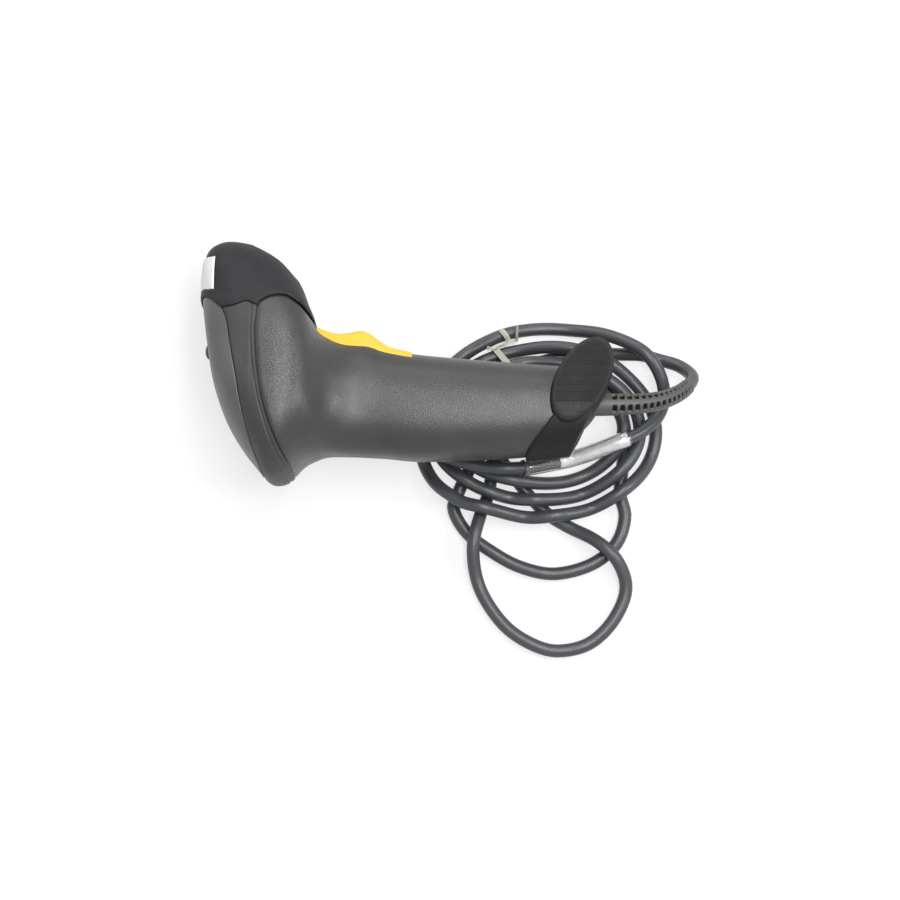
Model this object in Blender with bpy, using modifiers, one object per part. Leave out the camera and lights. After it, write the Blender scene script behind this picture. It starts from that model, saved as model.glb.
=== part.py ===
"""Handheld barcode scanner lying on its side, with its lead coiled under the handle.

Metres, +Z up. X runs along the handle towards the foot, Y is the scan direction and Z is the
scanner's width, so the widest part of the head touches the floor at Z = 0.
"""
import math

import bmesh
import bpy
import numpy as np
from mathutils import Matrix, Vector

OBJECT_NAME = "barcode_scanner"

# Shell
GAP = 0.0003
WALL = 0.0022
HEAD_WIDTH = 0.063
HANDLE_WIDTH = 0.033
MID = HEAD_WIDTH / 2
SECTION_POINTS = 32
HEAD_FRONT_POWER = 3.5
HANDLE_POWER = 2.3
HEAD_WIDEST = 0.37

# Side outline of the body, front and rear edge, as (x, y)
FRONT_OUTLINE = [
    (-0.0758, 0.0322), (-0.0750, 0.0372), (-0.0737, 0.0401), (-0.0713, 0.0422), (-0.0660, 0.0437),
    (-0.0570, 0.0424), (-0.0480, 0.0379), (-0.0435, 0.0337), (-0.0390, 0.0272), (-0.0366, 0.0212),
    (-0.0349, 0.0145), (-0.0330, 0.0104), (-0.0290, 0.0082), (-0.0230, 0.0070), (-0.0155, 0.0072),
    (-0.0085, 0.0050), (0.0046, 0.0027), (0.0450, -0.0008), (0.0800, -0.0030),
]
REAR_OUTLINE = [
    (-0.0758, 0.0222), (-0.0750, 0.0160), (-0.0738, 0.0085), (-0.0713, -0.0085), (-0.0668, -0.0220),
    (-0.0600, -0.0336), (-0.0555, -0.0392), (-0.0511, -0.0444), (-0.0483, -0.0455), (-0.0450, -0.0449),
    (-0.0425, -0.0433), (-0.0403, -0.0402), (-0.0358, -0.0368), (-0.0285, -0.0348), (-0.0100, -0.0355),
    (0.0046, -0.0367), (0.0250, -0.0362), (0.0800, -0.0315),
]
# Half width along the body: share of the head's half width on the dome, then of the way to the handle's
DOME_WIDTHS = [
    (-0.0758, 0.30), (-0.0750, 0.48), (-0.0737, 0.63), (-0.0713, 0.78), (-0.0672, 0.90),
    (-0.0618, 0.975), (-0.0560, 1.0),
]
FLARE_WIDTHS = [
    (-0.0560, 1.0), (-0.0480, 0.99), (-0.0420, 0.945), (-0.0380, 0.85), (-0.0340, 0.62),
    (-0.0300, 0.35), (-0.0250, 0.14), (-0.0180, 0.03), (-0.0080, 0.0), (0.0800, 0.0),
]
# Stretches of the body with the number of sections in each
BODY_STRETCHES = [(-0.0758, -0.0713, 5), (-0.0713, -0.0560, 6), (-0.0560, -0.0310, 13),
                  (-0.0310, -0.0100, 5), (-0.0100, 0.0800, 5)]

# Seams between the shells, as (x, y) on the sides of the head
NOSE_SEAM = [
    (-0.0900, 0.0205), (-0.0740, 0.0198), (-0.0660, 0.0136), (-0.0615, 0.0140), (-0.0573, 0.0156),
    (-0.0533, 0.0141), (-0.0519, 0.0160), (-0.0480, 0.0182), (-0.0440, 0.0187), (-0.0390, 0.0164),
    (-0.0348, 0.0135), (-0.0300, 0.0120),
]
COVER_SEAM = [
    (-0.0700, 0.0300), (-0.0668, 0.0140), (-0.0648, 0.0090), (-0.0632, 0.0005), (-0.0612, -0.0090),
    (-0.0593, -0.0205), (-0.0566, -0.0315), (-0.0533, -0.0410), (-0.0480, -0.0560),
]
HOUSING_SEAM = [
    (-0.0525, 0.0300), (-0.0532, 0.0141), (-0.0540, 0.0055), (-0.0534, -0.0055), (-0.0518, -0.0165),
    (-0.0497, -0.0250), (-0.0465, -0.0335), (-0.0435, -0.0390), (-0.0402, -0.0430), (-0.0330, -0.0500),
]

# Scan window, square to the slanted front; distances from the origin along that direction
FACE_ANGLE = math.radians(45.0)
FACE_MIDDLE = -0.0588
WINDOW_HEIGHT = 0.0255
WINDOW_WIDTH = 0.041
WINDOW_THICKNESS = 0.0018
WINDOW_LIP = 0.0020
LIP_FACE = -0.0160
GASKET_THICKNESS = 0.0008
FRAME_DEPTH = 0.0055

# Sticker on the nose and light on the cover
LABEL_Y = (0.0262, 0.0385)
LABEL_WIDTH = 0.024
LABEL_THICKNESS = 0.00025
LED_Y = 0.0045
LED_RADIUS = 0.0028
LED_PROUD = 0.0008

# Trigger
TRIGGER_WIDTH = 0.0190
TRIGGER_CLEARANCE = 0.0005
TRIGGER_PIVOT = (-0.0298, 0.0052)
TRIGGER_HUB_RADIUS = 0.0030
HUB_POINTS = 9
HUB_START = math.radians(-70.0)
HUB_TURN = math.radians(120.0)
TRIGGER_BACK = -0.0010
TRIGGER_TOP = [
    (-0.0334, 0.0122), (-0.0295, 0.0109), (-0.0258, 0.0104), (-0.0213, 0.0110), (-0.0172, 0.0119),
    (-0.0138, 0.0108), (-0.0105, 0.0081), (-0.0064, 0.0056), (-0.0016, 0.0045), (0.0017, 0.0036),
]
HOOK_LENGTH = 0.0028
HOOK_WIDTH = 0.0100
HOOK_THICKNESS = 0.0014
HOOK_TOP = -0.0006
HOOK_ROOT = 0.0040
SLOT_Y = (-0.0060, 0.0300)
PIN_RADIUS = 0.0012
PIN_LENGTH = 0.0250
BOSS_RADIUS = 0.0030

# Foot
FOOT_PROUD = 0.0010
FOOT_WIDTH = HANDLE_WIDTH + 2 * FOOT_PROUD
BOOT_WALL = 0.0013
PAD_RIM = 0.0014
FOOT_OUTLINE = [
    (0.0440, -0.0352), (0.0530, -0.0345), (0.0600, -0.0335), (0.0640, -0.0265), (0.0690, -0.0150),
    (0.0735, -0.0030), (0.0754, 0.0030), (0.0757, 0.0058), (0.0742, 0.0078), (0.0718, 0.0080),
    (0.0665, 0.0062), (0.0610, 0.0030), (0.0560, -0.0020), (0.0525, -0.0080), (0.0515, -0.0150),
    (0.0528, -0.0215), (0.0505, -0.0265),
]
HANDLE_END = [(0.0500, -0.0450), (0.0660, 0.0050)]
PAD_CENTRE = (0.0633, -0.0098)
PAD_LENGTH = 0.0335
PAD_WIDTH = 0.0180
PAD_TILT = math.radians(62.0)
PAD_THICKNESS = 0.0020
PAD_POINTS = 28

# Ribs, boards and fasteners inside
RIB_THICKNESS = 0.0015
BULKHEAD_X = -0.0432
BULKHEAD_WINDOW_WIDTH = 0.0200
BULKHEAD_WINDOW_Y = (-0.0290, 0.0020)
BOARD_RIBS_X = (-0.0190, 0.0200)
BOARD_X = (-0.0300, 0.0360)
BOARD_Y = -0.0098
BOARD_WIDTH = 0.0200
BOARD_THICKNESS = 0.0016
RIB_WINDOW_WIDTH = 0.0140
RIB_WINDOW_Y = (-0.0280, -0.0030)
SCREW_PLACES = [(-0.0200, -0.0290), (0.0120, -0.0300), (0.0400, -0.0290)]
SCREW_RADIUS = 0.0012
SCREW_HEAD_RADIUS = 0.0023
SCREW_HEAD_HEIGHT = 0.0016
SCREW_LENGTH = 0.0150
SWITCH_X = -0.0080
SWITCH_SIZE = 0.0070
SWITCH_HEIGHT = 0.0045
PLUNGER_RADIUS = 0.0016
PLUNGER_TRAVEL = 0.0019
BEEPER_X = 0.0070
BEEPER_RADIUS = 0.0060
BEEPER_HEIGHT = 0.0060
JACK_X = (0.0270, 0.0430)
JACK_HEIGHT = 0.0110
JACK_WIDTH = 0.0150
PLUG_X = 0.0330
PLUG_LENGTH = 0.0160
PLUG_HEIGHT = 0.0080
PLUG_WIDTH = 0.0116

# Laser engine
CHASSIS_LENGTH = 0.0155
CHASSIS_Y = (-0.0224, 0.0110)
CHASSIS_WIDTH = 0.0340
CHASSIS_WALL = 0.0014
AXIS_Y = -0.0080
CARRIER_HALF = 0.0030
CARRIER_LENGTH = 0.0110
CARRIER_FACE = 0.0013
MIRROR_RUN = 0.0010
MIRROR_SIZE = 0.0120
MIRROR_THICKNESS = 0.0010
MIRROR_PIN_RADIUS = 0.0008
MAGNET_THICKNESS = 0.0025
COIL_RADIUS = 0.0045
COIL_BORE_RADIUS = 0.0015
COIL_LENGTH = 0.0045
DIODE_RADIUS = 0.0030
DIODE_LENGTH = 0.0035
LENS_THICKNESS = 0.0015
LENS_RADIUS = 0.0024
SENSOR_SIZE = 0.0060
SENSOR_THICKNESS = 0.0020
SENSOR_OFFSET = 0.0113
FLEX_THICKNESS = 0.0006
FLEX_WIDTH = 0.0100
FLEX_LAP = 0.0030
FLEX_BEND = 0.0015
FLEX_STEPS = 6

# Lead
CORD_DIAMETER = 0.0050
CORD_PITCH = 0.0063
CORD_SLOPE = 0.42
CORD_STEP = 0.0020
PLUG_STEPS = 4
TUBE_STEP = 0.0080
COIL_STEP = 0.0060
ROUTE_SHARES = 24
PILE_ROUNDS = 40
EASE_POINTS = 9
TUBE_CORNER_POINTS = 2
COIL_CORNER_POINTS = 1
RELIEF_CORNER_POINTS = 4
RELIEF_ROOT = 0.0085
RELIEF_TIP = 0.0058
RELIEF_STEP = 0.0035
RELIEF_PATH = [
    (0.0600, -0.0155, 0.0315), (0.0720, -0.0155, 0.0315), (0.0800, -0.0154, 0.0314),
    (0.0870, -0.0148, 0.0305), (0.0944, -0.0130, 0.0280), (0.1010, -0.0096, 0.0240),
    (0.1053, -0.0056, 0.0190),
]
DROP = [
    (0.1077, -0.0015, 0.0140), (0.1066, 0.0020, 0.0098), (0.1030, 0.0054, 0.0064), (0.0975, 0.0077, 0.0042),
]
# From the drop, under the handle, round the two loose loops and in under the coil
LEAD = [
    (0.0920, 0.0092), (0.0850, 0.0100), (0.0760, 0.0108), (0.0660, 0.0106), (0.0520, 0.0080),
    (0.0400, 0.0025), (0.0325, -0.0060), (0.0285, -0.0170), (0.0250, -0.0300), (0.0190, -0.0430),
    (0.0170, -0.0500), (0.0220, -0.0590), (0.0310, -0.0660), (0.0420, -0.0720), (0.0550, -0.0747),
    (0.0690, -0.0712), (0.0785, -0.0635), (0.0822, -0.0530), (0.0805, -0.0440), (0.0815, -0.0340),
    (0.0830, -0.0220),
    (0.0800, -0.0090), (0.0710, -0.0005), (0.0570, 0.0010), (0.0440, -0.0030), (0.0355, -0.0130),
    (0.0325, -0.0280), (0.0305, -0.0430), (0.0270, -0.0530), (0.0243, -0.0650), (0.0258, -0.0770),
    (0.0305, -0.0870), (0.0380, -0.0960), (0.0480, -0.1020), (0.0570, -0.1038), (0.0680, -0.1010),
    (0.0770, -0.0925), (0.0820, -0.0810), (0.0790, -0.0710), (0.0705, -0.0625), (0.0610, -0.0570),
    (0.0532, -0.0522), (0.0465, -0.0456), (0.0402, -0.0380), (0.0338, -0.0306), (0.0275, -0.0240),
]
COIL_CENTRE = (0.0500, -0.0190)
COIL_RADII = (0.0285, 0.0170)
COIL_PITCH = 0.0065
COIL_START = math.radians(172.0)
COIL_TURNS = 2.79
POINTS_PER_TURN = 24
# The top turn with the sleeve, and the end that runs over the coil to the plug
TAIL = [
    (0.0230, -0.0492), (0.0160, -0.0455), (0.0105, -0.0408), (0.0066, -0.0345), (0.0042, -0.0270),
    (0.0036, -0.0190), (0.0056, -0.0100), (0.0114, 0.0000), (0.0208, 0.0090), (0.0335, 0.0170),
    (0.0460, 0.0204), (0.0600, 0.0205), (0.0730, 0.0182), (0.0840, 0.0130), (0.0920, 0.0065),
    (0.0965, -0.0010), (0.0974, -0.0080), (0.0952, -0.0145), (0.0905, -0.0200), (0.0840, -0.0243),
    (0.0720, -0.0285), (0.0570, -0.0327), (0.0430, -0.0362), (0.0330, -0.0365), (0.0240, -0.0350),
    (0.0165, -0.0322), (0.0100, -0.0292), (0.0040, -0.0270), (-0.0025, -0.0256), (-0.0085, -0.0243),
    (-0.0140, -0.0213), (-0.0168, -0.0175), (-0.0175, -0.0140),
]
SLEEVE_FROM = 19
SLEEVE_LENGTH = 0.0430
SLEEVE_THICKNESS = 0.0004
# Twist tie round two turns of the coil, its ends lying over the top turn
TIE_PLACE = (0.0355, 0.0080)
TIE_ACROSS = (0.52, -0.85)
TIE_REACH = 0.0062
TIE_LIFT_REACH = 0.0120
TIE_WIDTH = 0.0024
TIE_THICKNESS = 0.0005
TIE_WIRE = 0.0012
TIE_CLEARANCE = 0.00045
TIE_STEM = [(0.0300, 0.0118), (0.0330, 0.0124), (0.0360, 0.0135), (0.0385, 0.0144)]
TIE_ENDS = [
    [(0.0385, 0.0144), (0.0378, 0.0160), (0.0367, 0.0176), (0.0352, 0.0194)],
    [(0.0360, 0.0135), (0.0385, 0.0144), (0.0412, 0.0158), (0.0414, 0.0180), (0.0416, 0.0206)],
]
CIRCLE_POINTS = 16

# Plug on the lead's far end
USB_LENGTH = 0.0165
USB_WIDTH = 0.0155
USB_HEIGHT = 0.0080
USB_ROUNDING = 0.0012
USB_SHELL_LENGTH = 0.0115
USB_SHELL_WIDTH = 0.0120
USB_SHELL_HEIGHT = 0.0045
USB_SHELL_WALL = 0.0004


def clear_scene():
    """Remove every object that the scene starts with."""
    for item in list(bpy.data.objects):
        bpy.data.objects.remove(item, do_unlink=True)


def new_collection(name):
    """A collection in the scene."""
    group = bpy.data.collections.new(name)
    bpy.context.scene.collection.children.link(group)
    return group


clear_scene()
PARTS = new_collection(OBJECT_NAME)
CUTTERS = new_collection(OBJECT_NAME + "_cutters")


def finish(name, colour, roughness, metallic=0.0):
    """A plain material with the piece's colour."""
    material = bpy.data.materials.new(name)
    material.use_nodes = True
    shader = material.node_tree.nodes["Principled BSDF"]
    shader.inputs["Base Color"].default_value = (*colour, 1.0)
    shader.inputs["Roughness"].default_value = roughness
    shader.inputs["Metallic"].default_value = metallic
    return material


def add_part(name, shape, material, origin=(0.0, 0.0, 0.0)):
    """Put a finished bmesh into the scene as a piece with its origin at the given point."""
    bmesh.ops.translate(shape, verts=shape.verts, vec=-Vector(origin))
    mesh = bpy.data.meshes.new(name)
    shape.to_mesh(mesh)
    shape.free()
    mesh.materials.append(material)
    piece = bpy.data.objects.new(name, mesh)
    piece.location = origin
    PARTS.objects.link(piece)
    return piece


def add_cutter(name, shape):
    """Put a bmesh into the scene as a hidden cutter."""
    mesh = bpy.data.meshes.new(name)
    shape.to_mesh(mesh)
    shape.free()
    cutter = bpy.data.objects.new(name, mesh)
    cutter.hide_render = True
    cutter.display_type = "WIRE"
    CUTTERS.objects.link(cutter)
    return cutter


def cut(piece, *cutters, operation="DIFFERENCE"):
    """Give a piece one Boolean for each cutter."""
    for cutter in cutters:
        step = piece.modifiers.new(cutter.name, "BOOLEAN")
        step.operation = operation
        step.solver = "EXACT"
        step.object = cutter


def box(x, y, z):
    """A block between the low and high value of each axis."""
    shape = bmesh.new()
    bmesh.ops.create_cube(shape, size=1.0)
    bmesh.ops.scale(shape, verts=shape.verts, vec=(x[1] - x[0], y[1] - y[0], z[1] - z[0]))
    middle = ((x[0] + x[1]) / 2, (y[0] + y[1]) / 2, (z[0] + z[1]) / 2)
    bmesh.ops.translate(shape, verts=shape.verts, vec=middle)
    return shape


def about(middle, size):
    """Low and high value of a span from its middle and size."""
    return (middle - size / 2, middle + size / 2)


def rod(start, direction, length, radius, sides=24, end_radius=None):
    """A cylinder or cone from its start point along a direction."""
    shape = bmesh.new()
    tip = radius if end_radius is None else end_radius
    bmesh.ops.create_cone(shape, cap_ends=True, segments=sides, radius1=radius, radius2=tip, depth=length)
    bmesh.ops.translate(shape, verts=shape.verts, vec=(0.0, 0.0, length / 2))
    turn = Vector((0.0, 0.0, 1.0)).rotation_difference(Vector(direction).normalized())
    bmesh.ops.rotate(shape, verts=shape.verts, matrix=turn.to_matrix())
    bmesh.ops.translate(shape, verts=shape.verts, vec=start)
    return shape


def curve_shape(curve):
    """The closed bmesh of a curve, with its caps welded on."""
    holder = bpy.data.objects.new("curve", curve)
    CUTTERS.objects.link(holder)
    graph = bpy.context.evaluated_depsgraph_get()
    mesh = bpy.data.meshes.new_from_object(holder.evaluated_get(graph))
    shape = bmesh.new()
    shape.from_mesh(mesh)
    bmesh.ops.remove_doubles(shape, verts=shape.verts, dist=0.000001)
    bmesh.ops.recalc_face_normals(shape, faces=shape.faces)
    bpy.data.objects.remove(holder, do_unlink=True)
    bpy.data.meshes.remove(mesh)
    return shape


def plate(outline, z):
    """A flat outline in X and Y, thickened between two heights."""
    curve = bpy.data.curves.new("outline", "CURVE")
    curve.dimensions = "2D"
    curve.fill_mode = "BOTH"
    curve.extrude = (z[1] - z[0]) / 2
    spline = curve.splines.new("POLY")
    spline.points.add(len(outline) - 1)
    for point, (x, y) in zip(spline.points, outline):
        point.co = (x, y, 0.0, 1.0)
    spline.use_cyclic_u = True
    shape = curve_shape(curve)
    bmesh.ops.translate(shape, verts=shape.verts, vec=(0.0, 0.0, (z[0] + z[1]) / 2))
    return shape


def tube_curve(points, radius, resolution, radii=None, caps=True):
    """A round tube through points, with an optional share of the radius at each."""
    curve = bpy.data.curves.new("tube", "CURVE")
    curve.dimensions = "3D"
    curve.bevel_depth = radius
    curve.bevel_resolution = resolution
    curve.use_fill_caps = caps
    spline = curve.splines.new("POLY")
    spline.points.add(len(points) - 1)
    for index, (point, place) in enumerate(zip(spline.points, points)):
        point.co = (*place, 1.0)
        point.radius = 1.0 if radii is None else radii[index]
    return curve


def smooth_value(points, x):
    """Value at x of a smooth curve through (x, value) points that never overshoots them."""
    xs = np.array([point[0] for point in points])
    ys = np.array([point[1] for point in points])
    steps = np.diff(ys) / np.diff(xs)
    slopes = np.zeros(len(xs))
    slopes[0], slopes[-1] = steps[0], steps[-1]
    for index in range(1, len(xs) - 1):
        before, after = steps[index - 1], steps[index]
        if before * after > 0.0:
            slopes[index] = 2.0 * before * after / (before + after)
    index = min(max(int(np.searchsorted(xs, x)) - 1, 0), len(xs) - 2)
    width = xs[index + 1] - xs[index]
    share = (x - xs[index]) / width
    rest = 1 - share
    flow_in = rest ** 2 * (ys[index] * (1 + 2 * share) + slopes[index] * width * share)
    flow_out = share ** 2 * (ys[index + 1] * (1 + 2 * rest) - slopes[index + 1] * width * rest)
    return float(flow_in + flow_out)


def half_width(x):
    """Half of the body's width at x."""
    if x <= DOME_WIDTHS[-1][0]:
        return HEAD_WIDTH / 2 * smooth_value(DOME_WIDTHS, x)
    return (HANDLE_WIDTH + (HEAD_WIDTH - HANDLE_WIDTH) * smooth_value(FLARE_WIDTHS, x)) / 2


def body_section(x):
    """Points round the body at x: rounded, blunter at the front of the head than at its rear."""
    front = smooth_value(FRONT_OUTLINE, x)
    rear = smooth_value(REAR_OUTLINE, x)
    headness = smooth_value(FLARE_WIDTHS, x) if x > FLARE_WIDTHS[0][0] else 1.0
    middle = rear + (front - rear) * (0.5 + (HEAD_WIDEST - 0.5) * headness)
    points = []
    for index in range(SECTION_POINTS):
        angle = 2 * math.pi * index / SECTION_POINTS
        across, along = math.cos(angle), math.sin(angle)
        power = HANDLE_POWER + (HEAD_FRONT_POWER - HANDLE_POWER) * headness * (along > 0.0)
        depth = front - middle if along > 0.0 else middle - rear
        y = middle + math.copysign(depth * abs(along) ** (2 / power), along)
        z = MID + math.copysign(half_width(x) * abs(across) ** (2 / power), across)
        points.append((x, y, z))
    return points


def body_form(offset=0.0):
    """The body's outer form as a loft along X, grown or shrunk square to its surface."""
    places = [BODY_STRETCHES[0][0]]
    for start, end, count in BODY_STRETCHES:
        places += [start + (end - start) * (index + 1) / count for index in range(count)]
    shape = bmesh.new()
    rings = [[shape.verts.new(point) for point in body_section(x)] for x in places]
    for ring, following in zip(rings, rings[1:]):
        for index in range(SECTION_POINTS):
            after = (index + 1) % SECTION_POINTS
            shape.faces.new((ring[index], ring[after], following[after], following[index]))
    shape.faces.new(rings[0])
    shape.faces.new(reversed(rings[-1]))
    bmesh.ops.recalc_face_normals(shape, faces=shape.faces)
    shape.normal_update()
    moves = [vertex.normal * offset for vertex in shape.verts]
    for vertex, move in zip(shape.verts, moves):
        vertex.co += move
    bmesh.ops.triangulate(shape, faces=shape.faces)
    return shape


def shifted(line, distance):
    """A polyline moved sideways to its left by a distance."""
    moved = []
    for index, (x, y) in enumerate(line):
        before = line[max(index - 1, 0)]
        after = line[min(index + 1, len(line) - 1)]
        length = math.hypot(after[0] - before[0], after[1] - before[1])
        moved.append((x - (after[1] - before[1]) / length * distance,
                      y + (after[0] - before[0]) / length * distance))
    return moved


FAR = 0.12
ACROSS = (MID - FAR, MID + FAR)


def seam_cutter(name, line, distance, corners):
    """A block on one side of a seam, its edge moved to leave the gap."""
    return add_cutter(name, plate(shifted(line, distance) + corners, ACROSS))


def face_point(along, height):
    """Point in X and Y from the distance along the window's direction and the place up its face."""
    return (along * math.cos(FACE_ANGLE) + height * math.sin(FACE_ANGLE),
            along * math.sin(FACE_ANGLE) - height * math.cos(FACE_ANGLE))


def face_block(along, height, width):
    """A block square to the slanted front."""
    low, high = FACE_MIDDLE - height / 2, FACE_MIDDLE + height / 2
    outline = [face_point(along[0], low), face_point(along[0], high),
               face_point(along[1], high), face_point(along[1], low)]
    return plate(outline, about(MID, width))


RUBBER_BLACK = finish("nose_rubber", (0.018, 0.018, 0.019), 0.75)
COVER_GREY = finish("cover_plastic", (0.090, 0.088, 0.085), 0.45)
BAND_DARK = finish("band_rubber", (0.045, 0.044, 0.043), 0.60)
HOUSING_GREY = finish("housing_plastic", (0.075, 0.073, 0.070), 0.50)
TRIGGER_YELLOW = finish("trigger_plastic", (0.90, 0.58, 0.03), 0.40)
FOOT_RUBBER = finish("foot_rubber", (0.050, 0.049, 0.047), 0.70)
WINDOW_RED = finish("window_acrylic", (0.10, 0.012, 0.014), 0.08)
LABEL_WHITE = finish("label_paper", (0.85, 0.85, 0.84), 0.60)
LENS_CLEAR = finish("lens_acrylic", (0.25, 0.26, 0.26), 0.15)
STEEL = finish("steel", (0.60, 0.60, 0.60), 0.30, 1.0)
ALUMINIUM = finish("aluminium", (0.70, 0.70, 0.71), 0.35, 1.0)
BOARD_GREEN = finish("board_laminate", (0.02, 0.16, 0.07), 0.50)
BLACK_PLASTIC = finish("black_plastic", (0.02, 0.02, 0.02), 0.45)
COPPER = finish("copper_wire", (0.65, 0.30, 0.16), 0.35, 1.0)
MIRROR_SILVER = finish("mirror_coating", (0.90, 0.90, 0.90), 0.05, 1.0)
FLEX_AMBER = finish("flex_film", (0.50, 0.24, 0.04), 0.45)
CORD_GREY = finish("cord_pvc", (0.060, 0.062, 0.068), 0.50)
RELIEF_GREY = finish("relief_pvc", (0.085, 0.080, 0.075), 0.55)
SLEEVE_CLEAR = finish("sleeve_film", (0.55, 0.55, 0.55), 0.20)
TIE_BEIGE = finish("tie_paper", (0.62, 0.56, 0.45), 0.60)


def body_cutters():
    """Seam blocks, shared by the shells they part."""
    half = GAP / 2
    above = [(NOSE_SEAM[-1][0], FAR), (NOSE_SEAM[0][0], FAR)]
    right = [(FAR, -FAR), (FAR, FAR)]
    left = [(-FAR, -FAR), (-FAR, FAR)]
    return {
        "nose": seam_cutter("seam_nose_above", NOSE_SEAM, half, above),
        "nose_away": seam_cutter("seam_nose_away", NOSE_SEAM, -half, above),
        "cover_right": seam_cutter("seam_cover_right", COVER_SEAM, -half, right),
        "cover_left": seam_cutter("seam_cover_left", COVER_SEAM, half, left),
        "housing_right": seam_cutter("seam_housing_right", HOUSING_SEAM, -half, right),
        "housing_left": seam_cutter("seam_housing_left", HOUSING_SEAM, half, left),
    }


SEAMS = body_cutters()


def rib(name, x, window_width, window_y, with_board):
    """A cross wall of the housing with a window through it, and a slot for the board."""
    wall = add_cutter(name, box(about(x, RIB_THICKNESS), (-FAR, FAR), ACROSS))
    through = about(x, 4 * RIB_THICKNESS)
    cut(wall, add_cutter(name + "_window", box(through, window_y, about(MID, window_width))))
    if with_board:
        slot_y = about(BOARD_Y, BOARD_THICKNESS + 2 * GAP)
        cut(wall, add_cutter(name + "_slot", box(through, slot_y, about(MID, BOARD_WIDTH + 2 * GAP))))
    return wall


def trigger_bosses():
    """The two bosses that hold the trigger's pin, one on each side of the trigger."""
    start = TRIGGER_WIDTH / 2 + TRIGGER_CLEARANCE
    bosses = []
    for side in (-1, 1):
        base = (*TRIGGER_PIVOT, MID + side * start)
        bosses.append(add_cutter("trigger_boss", rod(base, (0, 0, side), HEAD_WIDTH, BOSS_RADIUS)))
    return bosses


def housing_hollow():
    """What is hollow in the housing: the inner form without its ribs and bosses."""
    hollow = add_cutter("housing_hollow", body_form(-WALL))
    cut(hollow, rib("bulkhead", BULKHEAD_X, BULKHEAD_WINDOW_WIDTH, BULKHEAD_WINDOW_Y, False))
    for index, x in enumerate(BOARD_RIBS_X):
        cut(hollow, rib("board_rib_%d" % index, x, RIB_WINDOW_WIDTH, RIB_WINDOW_Y, True))
    cut(hollow, *trigger_bosses())
    for x, y in SCREW_PLACES:
        post = rod((x, y, MID - HEAD_WIDTH), (0, 0, 1), 2 * HEAD_WIDTH, BOSS_RADIUS)
        cut(hollow, add_cutter("screw_post", post))
    return hollow


def screw_base():
    """Height of the underside of the screw heads."""
    return MID - SCREW_LENGTH / 2


def housing_halves():
    """The two moulded halves of the handle and lower head, parted at the middle."""
    hollow = housing_hollow()
    end_corners = [(FAR, HANDLE_END[1][1]), (FAR, HANDLE_END[0][1])]
    beyond = add_cutter("handle_end", plate(HANDLE_END + end_corners, ACROSS))
    slot_x = (TRIGGER_TOP[0][0] - TRIGGER_CLEARANCE, TRIGGER_TOP[-1][0] + TRIGGER_CLEARANCE)
    slot_z = about(MID, TRIGGER_WIDTH + 2 * TRIGGER_CLEARANCE)
    slot = add_cutter("trigger_slot", box(slot_x, SLOT_Y, slot_z))
    pin_bore = add_cutter("pin_bore", rod((*TRIGGER_PIVOT, MID - PIN_LENGTH / 2 - GAP), (0, 0, 1),
                                          PIN_LENGTH + 2 * GAP, PIN_RADIUS + GAP))
    for side, name in ((1, "housing_right"), (-1, "housing_left")):
        half = add_part(name, body_form(), HOUSING_GREY)
        other = (MID - FAR, MID + GAP / 2) if side > 0 else (MID - GAP / 2, MID + FAR)
        cut(half, hollow, SEAMS["housing_left"], SEAMS["nose_away"], beyond, slot, pin_bore)
        cut(half, add_cutter(name + "_other_half", box((-FAR, FAR), (-FAR, FAR), other)))
        for x, y in SCREW_PLACES:
            bore = rod((x, y, screw_base() - GAP), (0, 0, 1), SCREW_LENGTH + 2 * GAP, SCREW_RADIUS + GAP)
            cut(half, add_cutter("screw_bore", bore))
            sink = rod((x, y, -FAR), (0, 0, 1), FAR + screw_base(), SCREW_HEAD_RADIUS + GAP)
            cut(half, add_cutter("screw_sink", sink))


def housing_screws():
    """The screws, driven in from the left half."""
    for index, (x, y) in enumerate(SCREW_PLACES):
        head = rod((x, y, screw_base() - GAP), (0, 0, -1), SCREW_HEAD_HEIGHT, SCREW_HEAD_RADIUS, 16)
        screw = add_part("housing_screw_%d" % (index + 1), head, STEEL)
        shank = rod((x, y, screw_base() - SCREW_HEAD_HEIGHT / 2), (0, 0, 1),
                    SCREW_LENGTH + SCREW_HEAD_HEIGHT / 2, SCREW_RADIUS, 12)
        cut(screw, add_cutter("screw_shank", shank), operation="UNION")


def head_shells():
    """The top cover and the dark band round the head."""
    inner = add_cutter("head_hollow", body_form(-WALL))
    cover = add_part("top_cover", body_form(), COVER_GREY)
    cut(cover, inner, SEAMS["nose_away"], SEAMS["cover_right"])
    x = smooth_value([(y, x) for x, y in reversed(REAR_OUTLINE[:6])], LED_Y)
    start = (x - LED_PROUD, LED_Y, MID)
    cut(cover, add_cutter("led_bore", rod((x - 2 * WALL, LED_Y, MID), (1, 0, 0), 5 * WALL, LED_RADIUS + GAP)))
    add_part("led_lens", rod(start, (1, 0, 0), WALL + LED_PROUD, LED_RADIUS, 20), LENS_CLEAR)
    band = add_part("bumper_band", body_form(), BAND_DARK)
    cut(band, inner, SEAMS["nose_away"], SEAMS["cover_left"], SEAMS["housing_right"])


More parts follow.
